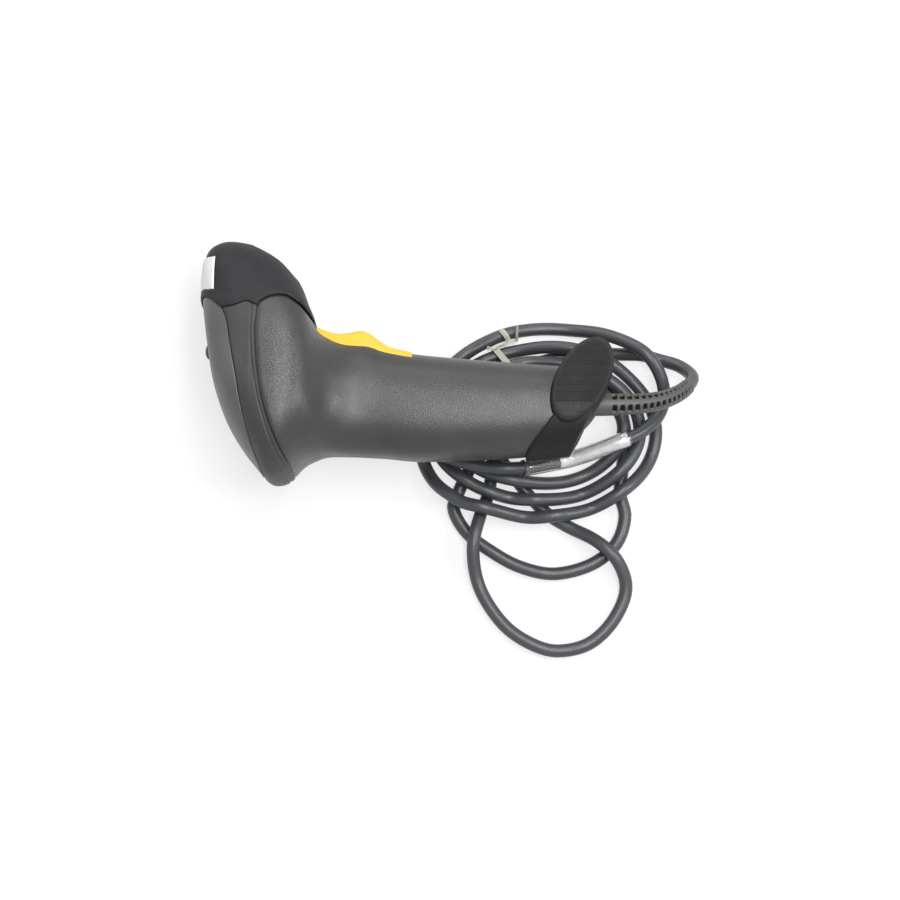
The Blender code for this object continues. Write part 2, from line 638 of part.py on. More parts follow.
def nose():
    """The nose with the frame for its slanted window, the window, its gasket and the sticker."""
    bumper = add_part("nose_bumper", body_form(), RUBBER_BLACK)
    cut(bumper, SEAMS["nose"], operation="INTERSECT")
    frame_back = LIP_FACE - FRAME_DEPTH
    cavity = add_cutter("nose_cavity", body_form(-WALL))
    cut(cavity, add_cutter("window_frame", face_block((frame_back, FAR), FAR, 2 * FAR)))
    pocket = face_block((frame_back - WALL, LIP_FACE), WINDOW_HEIGHT + 2 * GAP, WINDOW_WIDTH + 2 * GAP)
    opening_height = WINDOW_HEIGHT - 2 * WINDOW_LIP
    opening_width = WINDOW_WIDTH - 2 * WINDOW_LIP
    opening = face_block((LIP_FACE - WALL, FAR), opening_height, opening_width)
    cut(bumper, cavity, add_cutter("window_pocket", pocket), add_cutter("window_opening", opening))
    front = LIP_FACE - GAP
    seal = face_block((front - GASKET_THICKNESS, front), WINDOW_HEIGHT, WINDOW_WIDTH)
    gasket = add_part("window_gasket", seal, BLACK_PLASTIC)
    cut(gasket, add_cutter("gasket_opening", face_block((front - WALL, FAR), opening_height, opening_width)))
    glass = front - GASKET_THICKNESS - GAP
    pane = face_block((glass - WINDOW_THICKNESS, glass), WINDOW_HEIGHT, WINDOW_WIDTH)
    add_part("scan_window", pane, WINDOW_RED)
    label = add_part("nose_label", body_form(GAP + LABEL_THICKNESS), LABEL_WHITE)
    cut(label, add_cutter("label_back", body_form(GAP)))
    sticker = box((-FAR, DOME_WIDTHS[-1][0]), LABEL_Y, about(MID, LABEL_WIDTH))
    cut(label, add_cutter("label_edge", sticker), operation="INTERSECT")


def trigger():
    """The finger trigger on its pin, with a hook that stops it under the housing."""
    end_x = TRIGGER_TOP[-1][0]
    hub = []
    for index in range(HUB_POINTS):
        angle = HUB_START - HUB_TURN * index / (HUB_POINTS - 1)
        hub.append((TRIGGER_PIVOT[0] + TRIGGER_HUB_RADIUS * math.cos(angle),
                    TRIGGER_PIVOT[1] + TRIGGER_HUB_RADIUS * math.sin(angle)))
    under = [(end_x, TRIGGER_BACK), (TRIGGER_PIVOT[0] + 2 * TRIGGER_HUB_RADIUS, TRIGGER_BACK)]
    outline = TRIGGER_TOP + under + hub
    pivot = (*TRIGGER_PIVOT, MID)
    lever = add_part("trigger", plate(outline, about(MID, TRIGGER_WIDTH)), TRIGGER_YELLOW, pivot)
    seat, tip = TRIGGER_BACK + HOOK_THICKNESS, HOOK_TOP - HOOK_THICKNESS
    root_x, step_x, tip_x = end_x - HOOK_ROOT, end_x - GAP, end_x + HOOK_LENGTH
    hook = [(root_x, seat), (step_x, seat), (step_x, HOOK_TOP),
            (tip_x, HOOK_TOP), (tip_x, tip), (root_x, tip)]
    cut(lever, add_cutter("trigger_hook", plate(hook, about(MID, HOOK_WIDTH))), operation="UNION")
    bore = rod((*TRIGGER_PIVOT, MID - TRIGGER_WIDTH), (0, 0, 1), 2 * TRIGGER_WIDTH, PIN_RADIUS + GAP)
    cut(lever, add_cutter("trigger_bore", bore))
    pin_start = (*TRIGGER_PIVOT, MID - PIN_LENGTH / 2)
    add_part("trigger_pin", rod(pin_start, (0, 0, 1), PIN_LENGTH, PIN_RADIUS, 16), STEEL)


def pad_oval(grown=0.0):
    """Outline of a foot pad, or of the rim round it."""
    points = []
    for index in range(PAD_POINTS):
        angle = 2 * math.pi * index / PAD_POINTS
        along = (PAD_LENGTH / 2 + grown) * math.cos(angle)
        across = (PAD_WIDTH / 2 + grown) * math.sin(angle)
        points.append((PAD_CENTRE[0] + along * math.cos(PAD_TILT) - across * math.sin(PAD_TILT),
                       PAD_CENTRE[1] + along * math.sin(PAD_TILT) + across * math.cos(PAD_TILT)))
    return points


def foot():
    """The rubber boot over the handle's end, with its oval toe, and the pads on its sides."""
    boot = add_part("foot_boot", plate(FOOT_OUTLINE, ACROSS), FOOT_RUBBER)
    cut(boot, add_cutter("boot_form", body_form(BOOT_WALL)), operation="INTERSECT")
    toe = add_cutter("boot_toe", plate(pad_oval(PAD_RIM), about(MID, FOOT_WIDTH)))
    rounding = toe.modifiers.new("rounding", "BEVEL")
    rounding.width = PAD_RIM
    rounding.segments = 2
    rounding.limit_method = "ANGLE"
    rounding.angle_limit = math.radians(60.0)
    cut(boot, toe, operation="UNION")
    pocket = add_cutter("boot_pocket", body_form(GAP))
    end_corners = [(FAR, HANDLE_END[1][1]), (FAR, HANDLE_END[0][1])]
    cut(pocket, add_cutter("boot_floor", plate(shifted(HANDLE_END, -GAP) + end_corners, ACROSS)))
    bore = rod((0.0, RELIEF_PATH[0][1], RELIEF_PATH[0][2]), (1, 0, 0), FAR, RELIEF_ROOT / 2 + GAP, 20)
    cut(boot, pocket, add_cutter("relief_bore", bore))
    side = FOOT_WIDTH / 2 + GAP
    add_part("foot_pad_right", plate(pad_oval(), (MID + side, MID + side + PAD_THICKNESS)), FOOT_RUBBER)
    add_part("foot_pad_left", plate(pad_oval(), (MID - side - PAD_THICKNESS, MID - side)), FOOT_RUBBER)


def electronics():
    """The main board in the handle with the switch, beeper, cable jack and flat cable."""
    board_y = about(BOARD_Y, BOARD_THICKNESS)
    add_part("main_board", box(BOARD_X, board_y, about(MID, BOARD_WIDTH)), BOARD_GREEN)
    top = board_y[1] + GAP
    switch_top = top + SWITCH_HEIGHT
    switch_x = about(SWITCH_X, SWITCH_SIZE)
    switch = add_part("switch_body", box(switch_x, (top, switch_top), about(MID, SWITCH_SIZE)), BLACK_PLASTIC)
    foot_y = switch_top - GAP
    well = (SWITCH_X, foot_y - PLUNGER_TRAVEL - GAP, MID)
    cut(switch, add_cutter("switch_well", rod(well, (0, 1, 0), FAR, PLUNGER_RADIUS + GAP, 16)))
    plunger = rod((SWITCH_X, foot_y, MID), (0, 1, 0), TRIGGER_BACK - GAP - foot_y, PLUNGER_RADIUS, 16)
    add_part("switch_plunger", plunger, BLACK_PLASTIC, (SWITCH_X, foot_y, MID))
    under = board_y[0] - GAP
    add_part("beeper", rod((BEEPER_X, under, MID), (0, -1, 0), BEEPER_HEIGHT, BEEPER_RADIUS), BLACK_PLASTIC)
    jack_y = (under - JACK_HEIGHT, under)
    jack = add_part("cable_jack", box(JACK_X, jack_y, about(MID, JACK_WIDTH)), BLACK_PLASTIC)
    plug_y = about(under - JACK_HEIGHT / 2, PLUG_HEIGHT)
    mouth = box((PLUG_X - GAP, FAR), (plug_y[0] - GAP, plug_y[1] + GAP), about(MID, PLUG_WIDTH + 2 * GAP))
    cut(jack, add_cutter("jack_mouth", mouth))
    plug_x = (PLUG_X, PLUG_X + PLUG_LENGTH)
    add_part("cable_plug", box(plug_x, plug_y, about(MID, PLUG_WIDTH)), LENS_CLEAR)
    low_y = CHASSIS_Y[0] - BOARD_THICKNESS - 2 * GAP - FLEX_THICKNESS / 2
    high_y = under - FLEX_THICKNESS / 2
    low_x, high_x = BULKHEAD_X + FLEX_BEND, BOARD_X[0] - FLEX_BEND
    flex = [(BULKHEAD_X - FLEX_LAP, low_y)]
    for index in range(FLEX_STEPS + 1):
        share = index / FLEX_STEPS
        rise = (1.0 - math.cos(math.pi * share)) / 2
        flex.append((low_x + (high_x - low_x) * share, low_y + (high_y - low_y) * rise))
    flex.append((BOARD_X[0] + FLEX_LAP, high_y))
    strip = shifted(flex, FLEX_THICKNESS / 2) + shifted(flex, -FLEX_THICKNESS / 2)[::-1]
    add_part("flex_cable", plate(strip, about(MID, FLEX_WIDTH)), FLEX_AMBER)


def engine():
    """The laser engine on its chassis: swinging mirror, drive coil, laser, detector and board."""
    base = BULKHEAD_X - RIB_THICKNESS / 2 - GAP
    top = base - CHASSIS_LENGTH
    tray = add_part("engine_chassis", box((top, base), CHASSIS_Y, about(MID, CHASSIS_WIDTH)), ALUMINIUM)
    inside = base - CHASSIS_WALL
    rear = CHASSIS_Y[0] + CHASSIS_WALL
    room = box((top - WALL, inside), (rear, FAR), about(MID, CHASSIS_WIDTH - 2 * CHASSIS_WALL))
    cut(tray, add_cutter("chassis_room", room))
    axis_x = inside - GAP
    mirror_x = (axis_x - MIRROR_RUN - CARRIER_LENGTH, axis_x - MIRROR_RUN)
    middle_x = sum(mirror_x) / 2
    axis = (middle_x, AXIS_Y, MID)
    pin_length = CARRIER_LENGTH + 2 * MIRROR_RUN
    add_part("mirror_pin", rod((axis_x, AXIS_Y, MID), (-1, 0, 0), pin_length, MIRROR_PIN_RADIUS, 12), STEEL)
    low, high = -CARRIER_HALF, CARRIER_HALF
    bevelled = CARRIER_FACE * math.sqrt(2) - CARRIER_HALF
    outline = [(low, low), (high, low), (high, bevelled), (bevelled, high), (low, high)]
    block = plate(outline, mirror_x)
    bmesh.ops.rotate(block, verts=block.verts, matrix=Matrix(((0, 0, 1), (1, 0, 0), (0, 1, 0))))
    bmesh.ops.translate(block, verts=block.verts, vec=(0.0, AXIS_Y, MID))
    carrier = add_part("mirror_carrier", block, BLACK_PLASTIC, axis)
    bore = rod((mirror_x[0] - WALL, AXIS_Y, MID), (1, 0, 0), FAR, MIRROR_PIN_RADIUS + GAP, 16)
    cut(carrier, add_cutter("carrier_bore", bore))
    reach = CARRIER_FACE + GAP
    glass = box(about(0.0, MIRROR_SIZE), (reach, reach + MIRROR_THICKNESS), about(0.0, MIRROR_SIZE))
    bmesh.ops.rotate(glass, verts=glass.verts, matrix=Matrix.Rotation(math.radians(45.0), 3, "X"))
    bmesh.ops.translate(glass, verts=glass.verts, vec=axis)
    add_part("scan_mirror", glass, MIRROR_SILVER, axis)
    magnet_y = AXIS_Y - CARRIER_HALF - GAP
    magnet = box(about(middle_x, 2 * CARRIER_HALF), (magnet_y - MAGNET_THICKNESS, magnet_y),
                 about(MID, 2 * CARRIER_HALF))
    add_part("mirror_magnet", magnet, STEEL, axis)
    seat = rear + GAP
    turns = rod((middle_x, seat, MID), (0, 1, 0), COIL_LENGTH, COIL_RADIUS, 20)
    winding = add_part("drive_coil", turns, COPPER)
    bore = rod((middle_x, seat - WALL, MID), (0, 1, 0), FAR, COIL_BORE_RADIUS, 16)
    cut(winding, add_cutter("coil_bore", bore))
    cheek = MID + CHASSIS_WIDTH / 2 - CHASSIS_WALL - GAP
    beam_y = AXIS_Y + CARRIER_HALF
    can = rod((middle_x, beam_y, cheek), (0, 0, -1), DIODE_LENGTH, DIODE_RADIUS, 20)
    add_part("laser_diode", can, ALUMINIUM)
    lens_z = cheek - DIODE_LENGTH - GAP
    lens = rod((middle_x, beam_y, lens_z), (0, 0, -1), LENS_THICKNESS, LENS_RADIUS, 20)
    add_part("collimator_lens", lens, LENS_CLEAR)
    sensor_z = about(MID - SENSOR_OFFSET, SENSOR_SIZE)
    sensor = box(about(middle_x, SENSOR_SIZE), (seat, seat + SENSOR_THICKNESS), sensor_z)
    add_part("photodiode", sensor, BLACK_PLASTIC)
    behind = CHASSIS_Y[0] - GAP
    board = box((top, base), (behind - BOARD_THICKNESS, behind), about(MID, CHASSIS_WIDTH))
    add_part("engine_board", board, BOARD_GREEN)


def smooth_route(points, step):
    """Points a step apart on a smooth curve through the given points, and the given points' indices."""
    path = np.array(points)
    padded = np.vstack([2 * path[0] - path[1], path, 2 * path[-1] - path[-2]])
    fine = []
    for index in range(1, len(padded) - 2):
        before, start, end, after = padded[index - 1:index + 3]
        for share in np.linspace(0.0, 1.0, ROUTE_SHARES, endpoint=False):
            fine.append(0.5 * (2 * start + (end - before) * share
                               + (2 * before - 5 * start + 4 * end - after) * share ** 2
                               + (3 * start - before - 3 * end + after) * share ** 3))
    fine.append(path[-1])
    fine = np.array(fine)
    reach = np.concatenate([[0.0], np.cumsum(np.linalg.norm(np.diff(fine, axis=0), axis=1))])
    places = np.linspace(0.0, reach[-1], int(round(reach[-1] / step)) + 1)
    route = np.stack([np.interp(places, reach, fine[:, axis]) for axis in range(3)], axis=1)
    picks = np.rint(reach[::ROUTE_SHARES] / reach[-1] * (len(places) - 1)).astype(int)
    return route, picks


def coil_points():
    """The coil's turns: a flat spiral that widens by one pitch each turn, wound clockwise."""
    points = []
    for index in range(int(COIL_TURNS * POINTS_PER_TURN) + 1):
        turn = index / POINTS_PER_TURN
        angle = COIL_START - 2 * math.pi * turn
        points.append((COIL_CENTRE[0] + (COIL_RADII[0] + COIL_PITCH * turn) * math.cos(angle),
                       COIL_CENTRE[1] + (COIL_RADII[1] + COIL_PITCH * turn) * math.sin(angle)))
    return points


def piled(route, held):
    """Heights for the route: each stretch lies on the floor and on those laid before it."""
    floor = CORD_DIAMETER / 2
    reach = np.arange(len(route)) * CORD_STEP
    spread = np.hypot(route[:, None, 0] - route[None, :, 0], route[:, None, 1] - route[None, :, 1])
    apart = np.abs(reach[:, None] - reach[None, :])
    later = reach[:, None] - reach[None, :] > 4 * CORD_PITCH
    over = later & (spread < CORD_PITCH)
    over[:, :held] = False
    lift = np.where(over, np.sqrt(np.maximum(CORD_PITCH ** 2 - spread ** 2, 0.0)), -1.0)
    heights = np.maximum(route[:, 2], floor)
    at_tie = np.hypot(route[:, 0] - TIE_PLACE[0], route[:, 1] - TIE_PLACE[1]) < TIE_LIFT_REACH
    heights[at_tie] = np.maximum(heights[at_tie], floor + TIE_CLEARANCE + TIE_THICKNESS + GAP)
    heights[-PLUG_STEPS:] = USB_HEIGHT / 2
    for _ in range(PILE_ROUNDS):
        need = np.where(over, heights[None, :] + lift, floor).max(axis=1)
        need[:held] = route[:held, 2]
        raised = np.maximum(need, heights)
        raised = (raised[None, :] - CORD_SLOPE * apart).max(axis=1)
        raised[:held] = route[:held, 2]
        if np.allclose(raised, heights, atol=1e-6):
            break
        heights = raised
    window = np.hanning(EASE_POINTS)
    eased = np.convolve(np.pad(heights, EASE_POINTS // 2, mode="edge"), window / window.sum(), mode="valid")
    eased[:held] = route[:held, 2]
    return eased


def self_gap(points):
    """Least gap of a tube to itself, measured on points that aren't neighbours along it."""
    reach = np.concatenate([[0.0], np.cumsum(np.linalg.norm(np.diff(points, axis=0), axis=1))])
    apart = np.linalg.norm(points[:, None, :] - points[None, :, :], axis=2)
    apart[np.abs(reach[:, None] - reach[None, :]) < 3 * CORD_DIAMETER] = np.inf
    return float(apart.min()) - CORD_DIAMETER


def cord_route():
    """The lead from the plug in the handle to its far end, and where its stretches start."""
    turns = coil_points()
    root = (PLUG_X + PLUG_LENGTH + GAP / 2, *RELIEF_PATH[0][1:])
    held_points = [root] + RELIEF_PATH + DROP
    flat = LEAD + turns + TAIL
    controls = held_points + [(x, y, CORD_DIAMETER / 2) for x, y in flat]
    route, picks = smooth_route(controls, CORD_STEP)
    coil = len(held_points) + len(LEAD)
    tail = coil + len(turns)
    route[:, 2] = piled(route, picks[len(held_points)])
    starts = {"relief": 0, "lead": picks[len(RELIEF_PATH)], "coil": picks[coil], "tail": picks[tail - 1],
              "sleeve": picks[tail + SLEEVE_FROM], "end": len(route) - 1}
    return route, starts


def heading(route, index):
    """Direction of the route at one of its points."""
    ahead = route[min(index + 1, len(route) - 1)] - route[max(index - 1, 0)]
    return ahead / np.linalg.norm(ahead)


def tube_points(route, start, end, step):
    """Points of a stretch a step apart, its ends straight and short of their neighbours by half the gap."""
    straight = CORD_DIAMETER + GAP / 2
    margin = int((straight + step / 2) / CORD_STEP) + 1
    count = max(int(round((end - start - 2 * margin) * CORD_STEP / step)), 1)
    picks = np.linspace(start + margin, end - margin, count + 1).round().astype(int)
    first = [route[start] + heading(route, start) * reach for reach in (GAP / 2, straight)]
    last = [route[end] - heading(route, end) * reach for reach in (straight, GAP / 2)]
    return np.vstack([first, route[picks], last])


def lead():
    """The strain relief, the lead with its loops and coil, the sleeve and the plug."""
    route, starts = cord_route()
    free = route[starts["lead"]:]
    print("cord length %.3f m, least gap %.5f m" % ((len(free) - 1) * CORD_STEP, self_gap(free)))
    print("coil least gap %.5f m" % self_gap(route[starts["coil"]:starts["tail"] + 1]))
    boot = tube_points(route, starts["relief"], starts["lead"], RELIEF_STEP)
    taper = np.clip((boot[:, 0] - RELIEF_PATH[1][0]) / (boot[-1, 0] - RELIEF_PATH[1][0]), 0.0, 1.0)
    shares = 1.0 + (RELIEF_TIP / RELIEF_ROOT - 1.0) * taper
    relief = tube_curve(boot, RELIEF_ROOT / 2, RELIEF_CORNER_POINTS, shares)
    add_part("strain_relief", curve_shape(relief), RELIEF_GREY)
    stretches = (("cord_lead", "lead", "coil", TUBE_STEP, TUBE_CORNER_POINTS),
                 ("cord_coil", "coil", "tail", COIL_STEP, COIL_CORNER_POINTS),
                 ("cord_tail", "tail", "end", TUBE_STEP, TUBE_CORNER_POINTS))
    for name, begin, end, step, resolution in stretches:
        points = tube_points(route, starts[begin], starts[end], step)
        add_part(name, curve_shape(tube_curve(points, CORD_DIAMETER / 2, resolution)), CORD_GREY)
    label_sleeve(points, route[starts["sleeve"]])
    cord_tie(route)


def label_sleeve(tail, place):
    """The clear sleeve shrunk on the tail, from the tail's point nearest to a place."""
    first = int(np.linalg.norm(tail - place, axis=1).argmin())
    stretch = tail[first:first + int(round(SLEEVE_LENGTH / TUBE_STEP)) + 1]
    outer = CORD_DIAMETER / 2 + GAP + SLEEVE_THICKNESS
    around = curve_shape(tube_curve(stretch, outer, TUBE_CORNER_POINTS))
    sleeve = add_part("label_sleeve", around, SLEEVE_CLEAR)
    ahead, behind = 2 * stretch[0] - stretch[1], 2 * stretch[-1] - stretch[-2]
    hollow = tube_curve(np.vstack([ahead, stretch, behind]), CORD_DIAMETER / 2 + GAP, TUBE_CORNER_POINTS)
    cut(sleeve, add_cutter("sleeve_hollow", curve_shape(hollow)))


def wrap(points):
    """The closed bmesh that wraps a set of points."""
    shape = bmesh.new()
    for point in points:
        shape.verts.new(point)
    result = bmesh.ops.convex_hull(shape, input=shape.verts)
    unused = set(result["geom_interior"] + result["geom_unused"])
    spare = [vertex for vertex in shape.verts if vertex in unused]
    bmesh.ops.delete(shape, geom=spare, context="VERTS")
    bmesh.ops.recalc_face_normals(shape, faces=shape.faces)
    return shape


def tie_band(route, radius, width):
    """A block of the tie's width round the turns that it holds, at a radius from their middles."""
    across = np.array(TIE_ACROSS) / np.linalg.norm(TIE_ACROSS)
    along = np.array((-across[1], across[0]))
    offset = route[:, :2] - np.array(TIE_PLACE)
    ahead = offset @ across
    held = (np.abs(offset @ along) < (TIE_WIDTH + CORD_STEP) / 2) & (np.abs(ahead) < TIE_REACH)
    points = []
    for reach, height in zip(ahead[held], route[held, 2]):
        for index in range(CIRCLE_POINTS):
            angle = 2 * math.pi * index / CIRCLE_POINTS
            place = np.array(TIE_PLACE) + across * (reach + radius * math.cos(angle))
            for side in (-width / 2, width / 2):
                points.append((*(place + along * side), height + radius * math.sin(angle)))
    return wrap(points)


def laid(route, path):
    """A thin wire's path with its heights, resting on the lead's turns."""
    apart = CORD_DIAMETER / 2 + TIE_WIRE / 2 + TIE_CLEARANCE + GAP
    points = []
    for x, y, _ in smooth_route([(x, y, 0.0) for x, y in path], TIE_WIRE)[0]:
        spread = np.hypot(route[:, 0] - x, route[:, 1] - y)
        near = spread < apart
        rest = route[near, 2] + np.sqrt(apart ** 2 - spread[near] ** 2)
        points.append((x, y, max(rest.max(initial=0.0), TIE_WIRE)))
    return points


def cord_tie(route):
    """The twist tie: a band round two turns, a twisted stem and two loose ends."""
    inner = CORD_DIAMETER / 2 + TIE_CLEARANCE
    tie = add_part("cord_tie", tie_band(route, inner + TIE_THICKNESS, TIE_WIDTH), TIE_BEIGE)
    cut(tie, add_cutter("tie_hollow", tie_band(route, inner, 2 * TIE_WIDTH)))
    for path in [TIE_STEM] + TIE_ENDS:
        wire = curve_shape(tube_curve(laid(route, path), TIE_WIRE / 2, COIL_CORNER_POINTS))
        cut(tie, add_cutter("tie_wire", wire), operation="UNION")


def usb_plug():
    """The plug on the far end: a moulded body, a steel shell and the tongue inside it."""
    lift = USB_HEIGHT / 2
    middle_x, end_y = TAIL[-1]
    back = end_y + GAP
    x, z = about(middle_x, USB_WIDTH), about(lift, USB_HEIGHT)
    body = add_part("usb_overmould", box(x, (back, back + USB_LENGTH), z), BLACK_PLASTIC)
    soften = body.modifiers.new("rounding", "BEVEL")
    soften.width = USB_ROUNDING
    soften.segments = 2
    start = back + USB_LENGTH + GAP
    shell_y = (start, start + USB_SHELL_LENGTH)
    sheet = box(about(middle_x, USB_SHELL_WIDTH), shell_y, about(lift, USB_SHELL_HEIGHT))
    shell = add_part("usb_shell", sheet, STEEL)
    inside = box(about(middle_x, USB_SHELL_WIDTH - 2 * USB_SHELL_WALL), (start + USB_SHELL_WALL, FAR),
                 about(lift, USB_SHELL_HEIGHT - 2 * USB_SHELL_WALL))
    cut(shell, add_cutter("usb_mouth", inside))
    tongue_y = (start + USB_SHELL_WALL + GAP, shell_y[1] - 2 * USB_SHELL_WALL)
    tongue_z = (lift + GAP, lift + USB_SHELL_HEIGHT / 2 - USB_SHELL_WALL - GAP)
    tongue_width = USB_SHELL_WIDTH - 2 * USB_SHELL_WALL - 2 * GAP
    add_part("usb_tongue", box(about(middle_x, tongue_width), tongue_y, tongue_z), BLACK_PLASTIC)



housing_halves()
housing_screws()
head_shells()
nose()
trigger()
foot()
electronics()
engine()
lead()
usb_plug()
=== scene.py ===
"""Dressed model of a handheld barcode scanner lying on its side, its lead coiled under the handle.

Metres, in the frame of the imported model: X runs along the handle towards the foot, Y is the scan
direction and Z is the scanner's width, with the floor at Z = 0.
"""
import logging
import math
from dataclasses import dataclass, field
from enum import Enum
from typing import Callable, Sequence

import bmesh
import bpy
import numpy as np
from mathutils import Matrix, Vector


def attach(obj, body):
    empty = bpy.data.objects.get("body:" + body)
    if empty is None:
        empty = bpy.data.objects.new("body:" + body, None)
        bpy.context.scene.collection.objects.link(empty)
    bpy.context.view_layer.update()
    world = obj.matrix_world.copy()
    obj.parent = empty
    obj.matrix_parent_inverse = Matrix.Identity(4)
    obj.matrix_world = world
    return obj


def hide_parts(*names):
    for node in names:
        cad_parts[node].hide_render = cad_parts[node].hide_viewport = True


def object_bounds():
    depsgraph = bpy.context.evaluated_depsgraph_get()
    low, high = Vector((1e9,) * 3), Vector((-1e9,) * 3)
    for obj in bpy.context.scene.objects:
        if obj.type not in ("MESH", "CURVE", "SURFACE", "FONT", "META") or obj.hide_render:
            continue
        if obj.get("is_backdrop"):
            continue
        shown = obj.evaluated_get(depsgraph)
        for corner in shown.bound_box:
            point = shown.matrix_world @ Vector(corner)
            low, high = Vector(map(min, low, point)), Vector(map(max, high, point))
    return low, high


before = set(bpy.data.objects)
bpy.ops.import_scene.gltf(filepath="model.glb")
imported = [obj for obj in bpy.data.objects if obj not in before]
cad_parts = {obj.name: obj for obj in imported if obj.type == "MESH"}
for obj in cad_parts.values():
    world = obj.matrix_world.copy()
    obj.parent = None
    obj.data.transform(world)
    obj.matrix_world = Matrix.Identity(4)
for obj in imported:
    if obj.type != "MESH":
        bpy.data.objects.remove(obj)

log = logging.getLogger("barcode_scanner")
Point2 = tuple[float, float]
Point3 = tuple[float, float, float]
Shape = bmesh.types.BMesh
Piece = bpy.types.Object

GAP = 0.0003
WALL = 0.0022
HEAD_WIDTH = 0.063
HANDLE_WIDTH = 0.033
MID = HEAD_WIDTH / 2
QUARTER = math.pi / 2


class Side(Enum):
    """The two sides of the scanner, as the sign of Z from its middle."""

    RIGHT = 1
    LEFT = -1


class Body(Enum):
    """The moving bodies that pieces ride on."""

    SCANNER = "scanner"
    TRIGGER = "trigger"


class Grain(Enum):
    """Kinds of moulded surface."""

    SPARK = "spark eroded"
    MATT = "matt rubber"
    SMOOTH = "satin"


class Recipe:
    """Builds one procedural material, node by node."""

    def __init__(self, name: str) -> None:
        """Start a material with its shader and the piece's own coordinates."""
        self.material = bpy.data.materials.new(name + " finish")
        self.material.use_nodes = True
        self.tree = self.material.node_tree
        self.shader = self.tree.nodes["Principled BSDF"]
        self.coords = self.node("ShaderNodeTexCoord").outputs["Object"]

    def node(self, kind: str, **sockets: object) -> bpy.types.Node:
        """Add a node.

        Args:
            kind: The node's type.
            sockets: Inputs by name with underscores for spaces, as values or as outputs to join.
        Returns:
            The new node.
        """
        made = self.tree.nodes.new(kind)
        for name, value in sockets.items():
            self.give(made.inputs[name.replace("_", " ")], value)
        return made

    def give(self, socket: bpy.types.NodeSocket, value: object) -> None:
        """Set an input to a value, or join an output to it."""
        if isinstance(value, bpy.types.NodeSocket):
            self.tree.links.new(value, socket)
        else:
            socket.default_value = value

    def set(self, **sockets: object) -> None:
        """Set the shader's inputs by name, with underscores for spaces."""
        for name, value in sockets.items():
            self.give(self.shader.inputs[name.replace("_", " ")], value)

    def stretched(self, scale: Point3) -> bpy.types.NodeSocket:
        """The piece's coordinates, scaled along each axis."""
        return self.node("ShaderNodeMapping", Vector=self.coords, Scale=scale).outputs["Vector"]

    def noise(self, size: float, detail: float = 3.0,
              coords: bpy.types.NodeSocket | None = None) -> bpy.types.NodeSocket:
        """Cloudy noise.

        Args:
            size: Width of its features in metres.
            detail: Number of finer layers.
            coords: Coordinates to use in place of the piece's own.
        Returns:
            The noise's value.
        """
        source = self.coords if coords is None else coords
        made = self.node("ShaderNodeTexNoise", Vector=source, Scale=1.0 / size, Detail=detail)
        return made.outputs["Fac"]

    def cells(self, size: float) -> bpy.types.NodeSocket:
        """Distance from the middles of small cells of a given size."""
        made = self.node("ShaderNodeTexVoronoi", Vector=self.coords, Scale=1.0 / size)
        return made.outputs["Distance"]

    def span(self, value: bpy.types.NodeSocket, low: float, high: float) -> bpy.types.NodeSocket:
        """A value between 0.3 and 0.7 spread between a low and a high one."""
        made = self.node("ShaderNodeMapRange", Value=value, From_Min=0.3, From_Max=0.7,
                         To_Min=low, To_Max=high)
        return made.outputs["Result"]

    def tint(self, value: bpy.types.NodeSocket, first: Point3, second: Point3,
             start: float = 0.35, end: float = 0.65) -> bpy.types.NodeSocket:
        """A colour between two.

        Args:
            value: What chooses between them.
            first: Colour at the start.
            second: Colour at the end.
            start: Value up to which the first colour holds.
            end: Value from which the second colour holds.
        Returns:
            The colour.
        """
        made = self.node("ShaderNodeValToRGB", Fac=value)
        for stop, place, colour in zip(made.color_ramp.elements, (start, end), (first, second)):
            stop.position = place
            stop.color = (*colour, 1.0)
        return made.outputs["Color"]

    def times(self, first: bpy.types.NodeSocket, second: bpy.types.NodeSocket) -> bpy.types.NodeSocket:
        """Two colours multiplied."""
        made = self.tree.nodes.new("ShaderNodeMix")
        made.data_type = "RGBA"
        made.blend_type = "MULTIPLY"
        made.inputs[0].default_value = 1.0
        self.tree.links.new(first, made.inputs[6])
        self.tree.links.new(second, made.inputs[7])
        return made.outputs[2]

    def bump(self, *layers: tuple[bpy.types.NodeSocket, float]) -> None:
        """Raise the surface by layers of height, each with its depth in metres."""
        normal = None
        for height, depth in layers:
            made = self.node("ShaderNodeBump", Height=height, Distance=depth)
            if normal is not None:
                self.tree.links.new(normal, made.inputs["Normal"])
            normal = made.outputs["Normal"]
        self.set(Normal=normal)


def shade(colour: Point3, share: float) -> Point3:
    """A colour times a share."""
    return tuple(min(part * share, 1.0) for part in colour)


class Finish:
    """A surface finish that makes its material once."""

    name: str

    def material(self) -> bpy.types.Material:
        """The finish's material, made on its first use."""
        return bpy.data.materials.get(self.name + " finish") or self.mixed()

    def mixed(self) -> bpy.types.Material:
        """Make the material."""
        raise NotImplementedError


